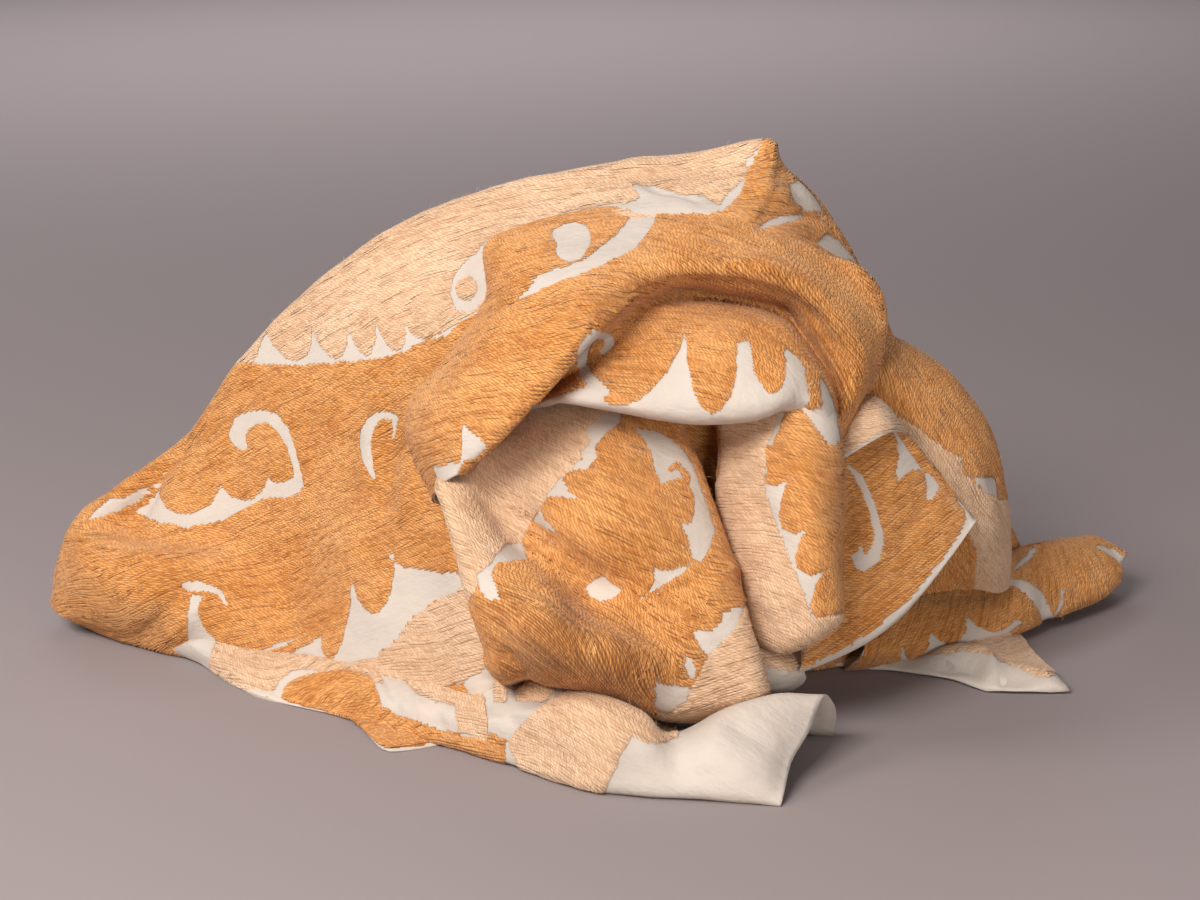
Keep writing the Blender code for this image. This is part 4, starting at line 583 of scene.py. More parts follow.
def in_outline(q, line):
    a, b = line, np.roll(line, -1, 0)
    d = to_segments(q, a, b)[0].min(1)
    above = (a[:, 1] > q[:, 1:2]) != (b[:, 1] > q[:, 1:2])
    rise = np.where(np.abs(b[:, 1] - a[:, 1]) < 1e-9, 1e-9, b[:, 1] - a[:, 1])
    cross = q[:, :1] < (b[:, 0] - a[:, 0]) * (q[:, 1:2] - a[:, 1]) / rise + a[:, 0]
    inside = (above & cross).sum(1) % 2 == 1
    return np.where(inside, d, -d)


def smooth_outline(points, fine=5):
    p = np.array(points, float)
    p = np.concatenate([p[-1:], p, p[:2]])
    return np.concatenate([span(p, i, np.arange(fine) / fine) for i in range(1, len(p) - 2)])


def border_outline(base, crown, fine=8, full=0.10):
    """A toothed border: along its base, and back over its tips with a full cup between each two of them."""
    line = [np.array(base, float)[::-1]]
    crown = np.array(crown, float)
    for k in range(0, len(crown) - 2, 2):
        tip, cup, nxt = crown[k : k + 3]
        chord = nxt - tip
        deep = (cup - (tip + nxt) / 2) / 0.75
        p1, p2 = tip + full * chord + deep, nxt - full * chord + deep
        t = (np.arange(fine) / fine)[:, None]
        line.append((1 - t) ** 3 * tip + 3 * (1 - t) ** 2 * t * p1 + 3 * (1 - t) * t * t * p2 + t**3 * nxt)
    line.append(crown[-1:])
    return np.concatenate(line)


def shape_at(q, kind, points, more):
    """The shape's distance at the points q, worked out only near it."""
    if kind == "stroke":
        reach, ring = max(more) + 14, np.array(points, float)
    elif kind == "toothed":
        reach, ring = 14, border_outline(points, more)
    elif kind == "field":
        reach, ring = 14, smooth_outline(points)
    else:
        reach, ring = 14, np.array(points, float)
    out = np.full(len(q), -14.0)
    near = ((q > ring.min(0) - reach) & (q < ring.max(0) + reach)).all(1)
    if near.any():
        part = q[near]
        out[near] = in_stroke(part, points, more) if kind == "stroke" else in_outline(part, ring)
    return out


def paint(q, shapes):
    """Cream and peach distances at the points q, after all the shapes, in drawing units."""
    cream, peach = np.full(len(q), -14.0), np.full(len(q), -14.0)
    for colour, kind, points, more in shapes:
        d = shape_at(q, kind, points, more)
        if colour == "cream":
            cream = np.maximum(cream, d)
        elif colour == "peach":
            peach, cream = np.maximum(peach, d), np.minimum(cream, -d)
        else:
            peach, cream = np.minimum(peach, -d), np.minimum(cream, -d)
    return cream, peach


def lengths(at, axis):
    """How far each point is from the first, along an axis of a grid."""
    step = np.linalg.norm(np.diff(at, axis=axis), axis=-1)
    zero = np.zeros_like(np.take(step, [0], axis))
    return np.concatenate([zero, np.cumsum(step, axis)], axis)


def soft_step(x):
    x = np.clip(x, 0, 1)
    return x * x * (3 - 2 * x)


def charted(fold):
    """Each grid point's place on the front's drawing sheet, on the back's, and how much the back's counts."""
    front = on_sheet(fold.at)[0]
    back, share = front * 0, front[..., 0] * 0
    behind = BACK_ROWS.get(fold.name)
    if behind:
        crown = int(np.argmin(np.abs(fold.rows - behind)))
        along = lengths(fold.at, 1)[crown][None, :] + 0 * share
        down = lengths(fold.at, 0)
        down = down[crown][None, :] - down
        back = np.stack([along, down], -1) * UNITS
        share = soft_step(0.5 + down / 0.02)
    return np.concatenate([front, back, share[..., None]], -1)


def pattern_at(name, chart):
    """Cream and peach distances at charted points of a fold."""
    front, back, share = chart[:, 0:2], chart[:, 2:4], chart[:, 4]
    shapes = [(c, k, p, m) for names, c, k, p, m in PATTERN if name in names.split()]
    spot = np.c_[front, front[:, 0] * 0]
    wander = np.stack([noise(spot, 9.0, 3) + 0.6 * noise(spot, 4.0, 7), noise(spot, 9.0, 4) + 0.6 * noise(spot, 4.0, 8)], -1)
    cream, peach = paint(front + 0.9 * wander, shapes)
    if name in BACK_ROWS:
        some = share > 0
        q, w = back[some], share[some]
        spot = np.c_[q, q[:, 0] * 0]
        c, p = paint(q + 1.6 * np.stack([noise(spot, 12.0, 5), noise(spot, 12.0, 6)], -1), BACK_PATTERN)
        cream[some] = cream[some] * (1 - w) + c * w
        peach[some] = peach[some] * (1 - w) + p * w
    return cream, peach


# ---- creases and unevenness on a fold's surface
def crease(fold):
    q = on_sheet(fold.at)[0]
    flat = q.reshape(-1, 2)
    lift = np.zeros(len(flat))
    for names, height, width, line in CREASES:
        if fold.name not in names.split():
            continue
        path = smooth_line(line, 4)
        near = ((flat > path.min(0) - 2.6 * width) & (flat < path.max(0) + 2.6 * width)).all(1)
        if not near.any():
            continue
        part = flat[near]
        a, b = path[:-1], path[1:]
        d, t = to_segments(part, a, b)
        k = d.argmin(1)
        along = (k + t[np.arange(len(k)), k]) / len(a)
        fade = np.minimum(1, np.minimum(along, 1 - along) * 4 + 0.25)
        lift[near] += height / 1000 * fade * np.exp(-((d.min(1) / width) ** 2))
    lift = lift.reshape(q.shape[:2])
    if fold.name in BACK_ROWS:
        lift = lift * soft_step((fold.rows - BACK_ROWS[fold.name] + 0.2) / 0.5)[:, None]
    lift = lift + 0.0013 * noise(fold.at, 0.045, 11) + 0.0008 * noise(fold.at, 0.020, 12)
    if fold.name in BACK_ROWS:
        back = (1 - soft_step((fold.rows - BACK_ROWS[fold.name] + 0.6) / 0.8))[:, None]
        lift = lift + back * 0.006 * noise(fold.at, 0.085, 15)
    fold.at = fold.at + fold.normal * lift[..., None]
    fold.at[..., 2] = np.maximum(fold.at[..., 2], 0.0004)
    fold.turn()


# ---- the run of the yarn rows: two lengths over each fold, along the rows and across them
def settle(pull_u, pull_v, share):
    """The grid of values whose steps come nearest to the given ones, by conjugate gradients; share is each point's weight."""
    rows, cols = share.shape
    wu, wv = (share[:, 1:] + share[:, :-1]) / 2, (share[1:] + share[:-1]) / 2
    pull_u, pull_v = pull_u * wu, pull_v * wv

    def spread(x):
        out = np.zeros_like(x)
        du, dv = np.diff(x, axis=1) * wu, np.diff(x, axis=0) * wv
        out[:, 1:] += du
        out[:, :-1] -= du
        out[1:] += dv
        out[:-1] -= dv
        return out

    want = np.zeros((rows, cols))
    want[:, 1:] += pull_u
    want[:, :-1] -= pull_u
    want[1:] += pull_v
    want[:-1] -= pull_v
    x = np.zeros_like(want)
    rest = want - spread(x)
    way, size = rest.copy(), (rest * rest).sum()
    for _ in range(900):
        if size < 1e-13:
            break
        aw = spread(way)
        step = size / max((way * aw).sum(), 1e-20)
        x = x + step * way
        rest = rest - step * aw
        new = (rest * rest).sum()
        way, size = rest + new / size * way, new
    return x


def steps_along(fold, field):
    du, dv = np.diff(fold.at, axis=1), np.diff(fold.at, axis=0)
    return (du * (field[:, 1:] + field[:, :-1]) / 2).sum(-1), (dv * (field[1:] + field[:-1]) / 2).sum(-1)


def runs_on(name):
    """On a coarse grid of the fold: lengths along the rows and across them, to be read anywhere on the fold."""
    fold = Fold(name, 0.009, 0.014)
    q = on_sheet(fold.at)[0]
    tu, tv = np.gradient(fold.at, axis=1), np.gradient(fold.at, axis=0)
    pu, pv = np.gradient(q, axis=1), np.gradient(q, axis=0)
    marks = np.array(RUNS[name], float)
    w = 1 / (((q[..., None, :] - marks[:, :2]) ** 2).sum(-1) + 25.0**2) ** 1.8
    rad = np.radians(marks[:, 2])
    want = unit((w[..., None] * np.stack([np.cos(rad), -np.sin(rad)], -1)).sum(-2))
    damp = 0.03 * UNITS**2
    aa = (pu * pu).sum(-1) + damp * (tu * tu).sum(-1)
    bb = (pv * pv).sum(-1) + damp * (tv * tv).sum(-1)
    ab = (pu * pv).sum(-1) + damp * (tu * tv).sum(-1)
    ra, rb = (pu * want).sum(-1), (pv * want).sum(-1)
    det = np.maximum(aa * bb - ab * ab, 1e-12)
    run = unit(tu * ((ra * bb - rb * ab) / det)[..., None] + tv * ((rb * aa - ra * ab) / det)[..., None])
    if name in BACK_ROWS:
        side = unit(np.cross(fold.normal, unit(tu)))
        slope = math.radians(BACK_SLOPE)
        level = unit(tu) * math.cos(slope) + side * math.sin(slope) * np.where(side[..., 2:3] > 0, 1, -1)
        back = (1 - soft_step((fold.rows - BACK_ROWS[name] + 1.0) / 1.0))[:, None, None]
        run = unit(run * (1 - back) + level * back)
    over = unit(np.cross(fold.normal, run))
    wanted = over
    across = None
    front = fold.normal[..., 2] * 0.24 - fold.normal[..., 1] * 0.97
    share = 0.06 + 0.94 * soft_step(0.4 + 2 * front)
    for _ in range(3):  # rows an even way apart come before rows in just the given direction
        across = settle(*steps_along(fold, over), share)
        slope = fold.slope(across)
        over = unit(unit(slope) + 0.7 * wanted)
    along = settle(*steps_along(fold, unit(np.cross(unit(fold.slope(across)), fold.normal))), share)
    return fold.rows, fold.cols, np.stack([along, across], -1)


def read_runs(made, rows, cols):
    r0, c0, values = made
    i = np.clip(np.searchsorted(r0, rows, "right") - 1, 0, len(r0) - 2)
    j = np.clip(np.searchsorted(c0, cols, "right") - 1, 0, len(c0) - 2)
    fi = ((rows - r0[i]) / (r0[i + 1] - r0[i]))[:, None, None]
    fj = ((cols - c0[j]) / (c0[j + 1] - c0[j]))[None, :, None]
    a = values[i][:, j] * (1 - fj) + values[i][:, j + 1] * fj
    b = values[i + 1][:, j] * (1 - fj) + values[i + 1][:, j + 1] * fj
    return a * (1 - fi) + b * fi


# ---- all of a fold in one table: a row for each grid point
# at 0:3, normal 3:6, chart 6:11, along 11, across 12, its slope 13:16, where it is on the flat layout 16:18
WIDE = 18


def tabled(name, corner):
    fold = Fold(name, CELL, CELL_BACK)
    crease(fold)
    runs = read_runs(runs_on(name), fold.rows, fold.cols)
    along, across = runs[..., 0], runs[..., 1]
    spot = np.stack([along / 0.024, across / 0.009, 0 * along], -1)
    across = across + 0.5 * ROW_PITCH * noise(spot, 1.0, 31)
    wide, tall = lengths(fold.at, 1), lengths(fold.at, 0)
    layout = np.stack([corner[0] + wide.mean(0)[None, :] + 0 * tall, corner[1] + tall.mean(1)[:, None] + 0 * wide], -1)
    table = np.concatenate(
        [fold.at, fold.normal, charted(fold), along[..., None], across[..., None], fold.slope(across), layout], -1
    )
    return table, (float(wide.mean(0)[-1]), float(tall.mean(1)[-1]))


# ---- meshes
def placed(points):
    """From the tables' plan to the part's frame, nothing under the ground."""
    out = points - np.array([HEAP_MIDDLE[0], HEAP_MIDDLE[1], 0.0])
    out[..., 2] = np.maximum(out[..., 2], 0.00005)
    return out


def cells_of(rows, cols):
    """The corners of a grid's cells, as rows of four point numbers."""
    index = np.arange(rows * cols).reshape(rows, cols)
    return np.stack([index[:-1, :-1], index[:-1, 1:], index[1:, 1:], index[1:, :-1]], -1).reshape(-1, 4)


def piece(name, verts, faces, rows_at, crest, layout, material):
    """A mesh object that rides with the part, with its run of rows, crest (which sets the yarn's painted shade and
    highlight) and flat layout for each point.
    """
    verts, faces = np.concatenate(verts), np.concatenate(faces)
    rows_at, crest, layout = np.concatenate(rows_at), np.concatenate(crest), np.concatenate(layout)
    mesh = bpy.data.meshes.new(name)
    mesh.vertices.add(len(verts))
    mesh.vertices.foreach_set("co", verts.astype(np.float32).ravel())
    mesh.loops.add(faces.size)
    mesh.loops.foreach_set("vertex_index", faces.astype(np.int32).ravel())
    mesh.polygons.add(len(faces))
    mesh.polygons.foreach_set("loop_start", np.arange(0, faces.size, 3, dtype=np.int32))
    mesh.update()
    mesh.validate()
    mesh.attributes.new("rows", "FLOAT_VECTOR", "POINT").data.foreach_set("vector", rows_at.astype(np.float32).ravel())
    mesh.attributes.new("crest", "FLOAT", "POINT").data.foreach_set("value", crest.astype(np.float32).ravel())
    flat = mesh.uv_layers.new(name="OFBake")
    corner = np.empty(len(mesh.loops), np.int32)
    mesh.loops.foreach_get("vertex_index", corner)
    flat.uv.foreach_set("vector", (layout[corner] / LAYOUT).astype(np.float32).ravel())
    mesh.shade_smooth()
    mesh.materials.append(material)
    ob = bpy.data.objects.new(name, mesh)
    bpy.context.scene.collection.objects.link(ob)
    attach(ob, "root")
    return ob


def cotton(tables, material):
    """The ground cloth: a fine outer face and a coarser underside, closed round the edges."""
    verts, faces, rows_at, crest, layout = [], [], [], [], []
    start = 0
    for number, name in enumerate(FOLDS):
        table = tables[name]
        at, normal = table[..., 0:3], table[..., 3:6]
        outer = placed(at + normal * CLOTH_FACE)
        inner = placed(at - normal * CLOTH_BACK)[::2, ::2]
        a, b = outer.shape[:2], inner.shape[:2]
        top = start + np.arange(a[0] * a[1]).reshape(a)
        low = start + a[0] * a[1] + np.arange(b[0] * b[1]).reshape(b)
        over, under = cells_of(*a) + start, cells_of(*b) + start + a[0] * a[1]
        rim = []
        for fine, coarse in (
            (top[0], low[0]),
            (top[:, -1], low[:, -1]),
            (top[-1, ::-1], low[-1, ::-1]),
            (top[::-1, 0], low[::-1, 0]),
        ):
            p, m, n = fine[:-2:2], fine[1:-1:2], fine[2::2]
            rim += [np.stack([p, coarse[:-1], m], 1), np.stack([m, coarse[:-1], coarse[1:]], 1), np.stack([m, coarse[1:], n], 1)]
        all_faces = np.concatenate(
            [over[:, [0, 1, 2]], over[:, [0, 2, 3]], under[:, [0, 2, 1]], under[:, [0, 3, 2]]] + rim
        )
        faces.append(all_faces[:, ::-1] if SIDE[name] > 0 else all_faces)
        verts += [outer.reshape(-1, 3), inner.reshape(-1, 3)]
        run = np.concatenate([table[..., 11:13], np.full(a + (1,), float(number))], -1)
        rows_at += [run.reshape(-1, 3), run[::2, ::2].reshape(-1, 3)]
        crest += [np.ones(a[0] * a[1]), np.zeros(b[0] * b[1])]
        layout += [table[..., 16:18].reshape(-1, 2), table[::2, ::2, 16:18].reshape(-1, 2) + [0, LAYOUT_UNDER]]
        start += a[0] * a[1] + b[0] * b[1]
    return piece("ground_cotton", verts, faces, rows_at, crest, layout, material)


def kept_part(inside, tris):
    """The part of a triangle mesh where inside is over nothing: pairs of points, the share between them, and faces."""
    n = len(inside)
    s = inside[tris] > 0
    count = s.sum(1)

    def rolled(some, first):
        return np.stack([some[np.arange(len(some)), (first + k) % 3] for k in range(3)], 1)

    one = rolled(tris[count == 1], s[count == 1].argmax(1))
    two = rolled(tris[count == 2], (~s[count == 2]).argmax(1))
    pairs = np.concatenate([one[:, [0, 1]], one[:, [0, 2]], two[:, [0, 1]], two[:, [0, 2]]])
    unique, back = np.unique(np.sort(pairs, 1), axis=0, return_inverse=True)
    back = back.ravel() + n
    k1, k2 = len(one), len(two)
    ab1, ac1 = back[:k1], back[k1 : 2 * k1]
    ab2, ac2 = back[2 * k1 : 2 * k1 + k2], back[2 * k1 + k2 :]
    faces = np.concatenate(
        [
            tris[count == 3],
            np.stack([one[:, 0], ab1, ac1], 1),
            np.stack([ab2, two[:, 1], two[:, 2]], 1),
            np.stack([ab2, two[:, 2], ac2], 1),
        ]
    )
    a, b = inside[unique[:, 0]], inside[unique[:, 1]]
    share = a / np.where(np.abs(a - b) < 1e-12, 1e-12, a - b)
    return unique, np.clip(share, 0.001, 0.999), faces


def inside_of(colour, cream, peach):
    return np.minimum(-cream, peach if colour == "peach" else -peach)


def yarn_bed(name, colour, tables, material):
    """What one colour's rows lie on: the folds' surface a little inside the colour's outline, painted mostly in the
    deep colour as the painted shade between the rows.
    """
    verts, faces, rows_at, crest, layout, start = [], [], [], [], [], 0
    for number, fold_name in enumerate(FOLDS):
        table = tables[fold_name]
        flat = table.reshape(-1, WIDE)
        inside = inside_of(colour, *pattern_at(fold_name, flat[:, 6:11])) - 2.2
        inside = np.where(flat[:, 2] < 0.0015, -14.0, inside)
        q = cells_of(*table.shape[:2])
        q = q[(inside[q] > 0).any(1)]
        if not len(q):
            continue
        pairs, share, cut = kept_part(inside, np.concatenate([q[:, [0, 1, 2]], q[:, [0, 2, 3]]]))
        a, b, s = flat[pairs[:, 0]], flat[pairs[:, 1]], share[:, None]
        flat = np.concatenate([flat, a * (1 - s) + b * s])
        used, cut = np.unique(cut, return_inverse=True)
        cut, flat = cut.reshape(-1, 3), flat[used]
        edges = np.concatenate([cut[:, [0, 1]], cut[:, [1, 2]], cut[:, [2, 0]]])
        _, first, count = np.unique(np.sort(edges, 1), axis=0, return_index=True, return_counts=True)
        rim = np.zeros(len(flat), bool)
        rim[edges[first[count == 1]]] = True
        lift = np.where(rim, -0.0003, BED_RISE)
        verts.append(placed(flat[:, 0:3] + flat[:, 3:6] * lift[:, None]))
        faces.append((cut[:, ::-1] if SIDE[fold_name] > 0 else cut) + start)
        rows_at.append(np.c_[flat[:, 11:13], np.full(len(flat), float(number))])
        # Painted shade: the bed's low crest paints it mostly in the deep colour, as the shade between the rows.
        crest.append(np.full(len(flat), 0.22))
        layout.append(flat[:, 16:18])
        start += len(flat)
    return piece(name, verts, faces, rows_at, crest, layout, material)


def level_ends(table, close):
    """The rows of yarn as level lines over a fold's grid: their ends on the grid's edges, and the pieces between."""
    rows, cols = table.shape[:2]
    flat = table.reshape(-1, WIDE)
    height = flat[:, 12] / ROW_PITCH * close
    cells = cells_of(rows, cols)
    h = height[cells]
    low, high = np.ceil(h.min(1)).astype(int), np.floor(h.max(1)).astype(int)
    count = np.maximum(high - low + 1, 0)
    cell = np.repeat(np.arange(len(cells)), count)
    level = low[cell] + np.arange(len(cell)) - np.repeat(np.cumsum(count) - count, count)
    # each level's own share of the rows: all where they are the pitch apart, more or fewer where they run together
    steep = np.linalg.norm(flat[:, 13:16], axis=1)[cells].mean(1)[cell]
    limit = np.where(level % 8 == 0, 9.0, np.where(level % 4 == 0, 1.42, np.where(level % 2 == 0, 0.71, 0.36)))
    some = steep < limit
    cell, level = cell[some], level[some]
    i, j = np.divmod(cell, cols - 1)
    flats = rows * (cols - 1)
    sides = [(0, 1, i * (cols - 1) + j), (1, 2, flats + i * cols + j + 1), (3, 2, (i + 1) * (cols - 1) + j), (0, 3, flats + i * cols + j)]
    hit, a_of, b_of, edge_of = [], [], [], []
    for p, q, edge in sides:
        a, b = cells[cell, p], cells[cell, q]
        hit.append((height[a] < level) != (height[b] < level))
        a_of.append(a)
        b_of.append(b)
        edge_of.append(edge)
    hit, a_of, b_of, edge_of = (np.stack(x, 1) for x in (hit, a_of, b_of, edge_of))
    two = hit.sum(1) == 2
    hit, a_of, b_of, edge_of, level = hit[two], a_of[two], b_of[two], edge_of[two], level[two]
    where = np.argsort(~hit, axis=1, kind="stable")[:, :2]
    pick = np.arange(len(hit))[:, None]
    a, b, edge = a_of[pick, where].ravel(), b_of[pick, where].ravel(), edge_of[pick, where].ravel()
    lev = np.repeat(level, 2)
    key = edge.astype(np.int64) * 100000 + (lev + 50000)
    _, first, back = np.unique(key, return_index=True, return_inverse=True)
    a, b, lev = a[first], b[first], lev[first]
    t = (lev - height[a]) / np.where(np.abs(height[b] - height[a]) < 1e-9, 1e-9, height[b] - height[a])
    t = np.clip(t, 0, 1)[:, None]
    return flat[a] * (1 - t) + flat[b] * t, lev, back.ravel().reshape(-1, 2)


def chance(a, b, seed):
    h = np.sin(a * 12.9898 + b * 78.233 + seed * 37.719) * 43758.5453
    return h - np.floor(h)


def rubbed_and_shaded(name, q):
    """How far the yarn is rubbed to felt, and its colour darkened with painted shade, at points of the drawing sheet,
    from 0 to 1.
    """
    out = np.zeros(len(q))
    for fold_name, across, down, reach, much in RUBBED_AND_SHADED:
        if fold_name == name:
            out = np.maximum(out, much * np.exp(-((q[:, 0] - across) ** 2 + (q[:, 1] - down) ** 2) / reach**2))
    return out


def strands(colour, tables):
    """One colour's laid rows, each a low ridge of yarn, and fibres that stand up from them."""
    verts, faces, rows_at, crest, layout, start = [], [], [], [], [], 0
    for number, fold_name in enumerate(FOLDS):
        ends, level, pairs = level_ends(tables[fold_name], 4)
        level = level / 4.0

        def depth(some):
            return inside_of(colour, *pattern_at(fold_name, some[:, 6:11]))

        inside = depth(ends)
        near = np.abs(inside)[pairs].min(1) < 6.5
        halves = pairs[near]
        middle = ends[halves].mean(1)
        index = len(ends) + np.arange(len(middle))
        ends, level = np.concatenate([ends, middle]), np.concatenate([level, level[halves[:, 0]]])
        inside = np.concatenate([inside, depth(middle)])
        pairs = np.concatenate(
            [pairs[~near], np.stack([halves[:, 0], index], 1), np.stack([index, halves[:, 1]], 1)]
        )
        inside = inside + 1.0 * (chance(level, 0 * level, number) - 0.45)
        inside = np.where(ends[:, 2] < 0.002, -5.0, inside)
        good = inside > 0
        cut = good[pairs].sum(1) == 1
        both = pairs[good[pairs].all(1)]
        part = pairs[cut]
        part = np.where(good[part[:, :1]], part, part[:, ::-1])
        a, b = ends[part[:, 0]], ends[part[:, 1]]
        t = (inside[part[:, 0]] / (inside[part[:, 0]] - inside[part[:, 1]]))[:, None]
        stop = a * (1 - t) + b * t
        keep = t[:, 0] > 0.08
        new = len(ends) + np.arange(keep.sum())
        ends = np.concatenate([ends, stop[keep]])
        level = np.concatenate([level, level[part[keep, 0]]])
        inside = np.concatenate([inside, np.zeros(keep.sum())])
        pairs = np.concatenate([both, np.stack([part[keep, 0], new], 1)])
        used, pairs = np.unique(pairs, return_inverse=True)
        pairs, ends, level, inside = pairs.reshape(-1, 2), ends[used], level[used], inside[used]
        if not len(pairs):
            continue
        at, normal, along = ends[:, 0:3], unit(ends[:, 3:6]), ends[:, 11]
        steep = np.linalg.norm(ends[:, 13:16], axis=1)
        over = unit(ends[:, 13:16])
        many = np.where(steep > 1.42, 0.5, np.where(steep > 0.71, 1.0, np.where(steep > 0.36, 2.0, 4.0)))
        width = np.minimum(ROW_PITCH / np.maximum(steep * many, 0.3), 1.5 * ROW_PITCH)
        n = len(at)
        own = np.full(n, number * 5.0)
        line = np.stack([along, level * ROW_PITCH * 3.0, own], -1)
        sway = 0.22 * noise(line, 0.011, 41) + 0.12 * noise(line, 0.005, 42)
        swell = 0.74 + 0.16 * noise(line, 0.0055, 43) + 0.20 * noise(line, 0.025, 44) + 0.25 * (chance(level, own, 45) - 0.5)
        end_fall = 0.2 + 0.8 * soft_step(inside / 2.5)
        body = YARN_RISE - BED_RISE
        rise = BED_RISE + body * swell * end_fall
        mid = at + over * (sway * width)[:, None]
        # This raises the fibre count and lowers the crest, which paints the yarn darker: partly felted wear, partly
        # painted shade.
        felt_and_shade = rubbed_and_shaded(fold_name, ends[:, 6:8]) * (0.75 + 0.5 * chance(level, own, 46))
        half = (0.54 * width)[:, None]
        run_way = unit(np.cross(over, normal))

        def gap(which):
            """How open the gap beside the row is, from 0 to 1: the two rows beside it get the same answer."""
            spot = np.stack([along / 0.0075, which * 3.1, own], -1)
            return soft_step((noise(spot, 1.0, 47) + 0.45) / 1.15)

        below, above = gap(np.floor(level / 0.5 * many - 0.5 + 1e-6)), gap(np.floor(level / 0.5 * many + 0.5 + 1e-6))
        low = BED_RISE + body * end_fall * (0.46 - 0.44 * below)
        high = BED_RISE + body * end_fall * (0.46 - 0.44 * above)
        left = placed(mid - over * half + normal * low[:, None])
        top = placed(mid + normal * rise[:, None])
        right = placed(mid + over * half + normal * high[:, None])
        p, q = pairs[:, 0], pairs[:, 1]
        ahead = ((at[q] - at[p]) * run_way[p]).sum(1) > 0
        p, q = np.where(ahead, p, q), np.where(ahead, q, p)
        quads = np.concatenate([np.stack([p, q, q + n, p + n], 1), np.stack([p + n, q + n, q + 2 * n, p + 2 * n], 1)])
        faces.append(np.concatenate([quads[:, [0, 1, 2]], quads[:, [0, 2, 3]]]) + start)
        verts += [left, top, right]
        lean = 1.25 * half[:, 0]
        # Painted shade: each row's two edges get a low crest, so they are painted in the deep colour, darker where the
        # gap beside them is open; its top gets a crest near 1, a little lighter where it swells. Where the yarn is
        # darkened, the crest drops further.
        for side, value in ((-1, 0.55 - 0.5 * below), (0, 0.75 + 0.25 * swell), (1, 0.55 - 0.5 * above)):
            rows_at.append(np.stack([along + side * lean, level * ROW_PITCH, np.full(n, float(number))], -1))
            crest.append(np.maximum(value - 0.60 * felt_and_shade, 0.0))
            layout.append(ends[:, 16:18] + np.array([0.0, 0.35 * ROW_PITCH]) * side)
        start += 3 * n
        # fibres: thin closed spikes, leaning along the surface
        some = np.flatnonzero((chance(at[:, 0] * 977, at[:, 1] * 811, 51) < FUZZ * (0.3 + 1.4 * soft_step(0.5 + noise(at, 0.07, 55)) + 1.6 * felt_and_shade)) & (inside > 1) & (at[:, 2] > 0.012))
        if len(some):
            m = len(some)
            turn = chance(some, 0 * some, 52) * 2 * math.pi
            stand = 0.25 + 0.75 * chance(some, 0 * some, 53)
            size = 0.0022 + 0.0050 * chance(some, 0 * some, 54) ** 2
            way = unit(
                run_way[some] * np.cos(turn)[:, None] + over[some] * np.sin(turn)[:, None] + normal[some] * stand[:, None]
            )
            foot = mid[some] + normal[some] * (rise[some] - 0.0003)[:, None]
            aside = unit(np.cross(way, normal[some] + 0.01))
            back = unit(np.cross(way, aside))
            ring = [foot + 0.00016 * (aside * math.cos(k * 2.094) + back * math.sin(k * 2.094)) for k in range(3)]
            tip = foot + way * size[:, None] + normal[some] * (0.15 * size)[:, None]
            index = start + np.arange(m)
            x, y, z, w = index, index + m, index + 2 * m, index + 3 * m
            faces.append(np.concatenate([np.stack(f, 1) for f in ((x, y, w), (y, z, w), (z, x, w), (x, z, y))]))
            verts += [placed(r) for r in ring] + [placed(tip)]
            for _ in range(4):
                rows_at.append(np.stack([along[some], level[some] * ROW_PITCH, np.full(m, float(number))], -1))
                # Painted highlight: the fibres get a crest over 1, so they are painted lighter than their yarn, less
                # where the yarn is darkened.
                crest.append(1.25 - 0.65 * felt_and_shade[some])
                layout.append(ends[some, 16:18])
            start += 4 * m
    return [np.concatenate(x) for x in (verts, faces, rows_at, crest, layout)]


def in_pieces(name, made, material):
    """Pieces of the strands with fewer than MOST faces each, split from left to right."""
    verts, faces, rows_at, crest, layout = made
    parts = int(math.ceil(len(faces) / MOST))
    order = np.argsort(verts[faces[:, 0], 0] // 0.02, kind="stable")
    out = []
    for k, chunk in enumerate(np.array_split(faces[order], parts)):
        used, local = np.unique(chunk, return_inverse=True)
        out.append(
            piece(f"{name}_{k + 1}", [verts[used]], [local.reshape(-1, 3)], [rows_at[used]], [crest[used]], [layout[used]], material)
        )
    return out


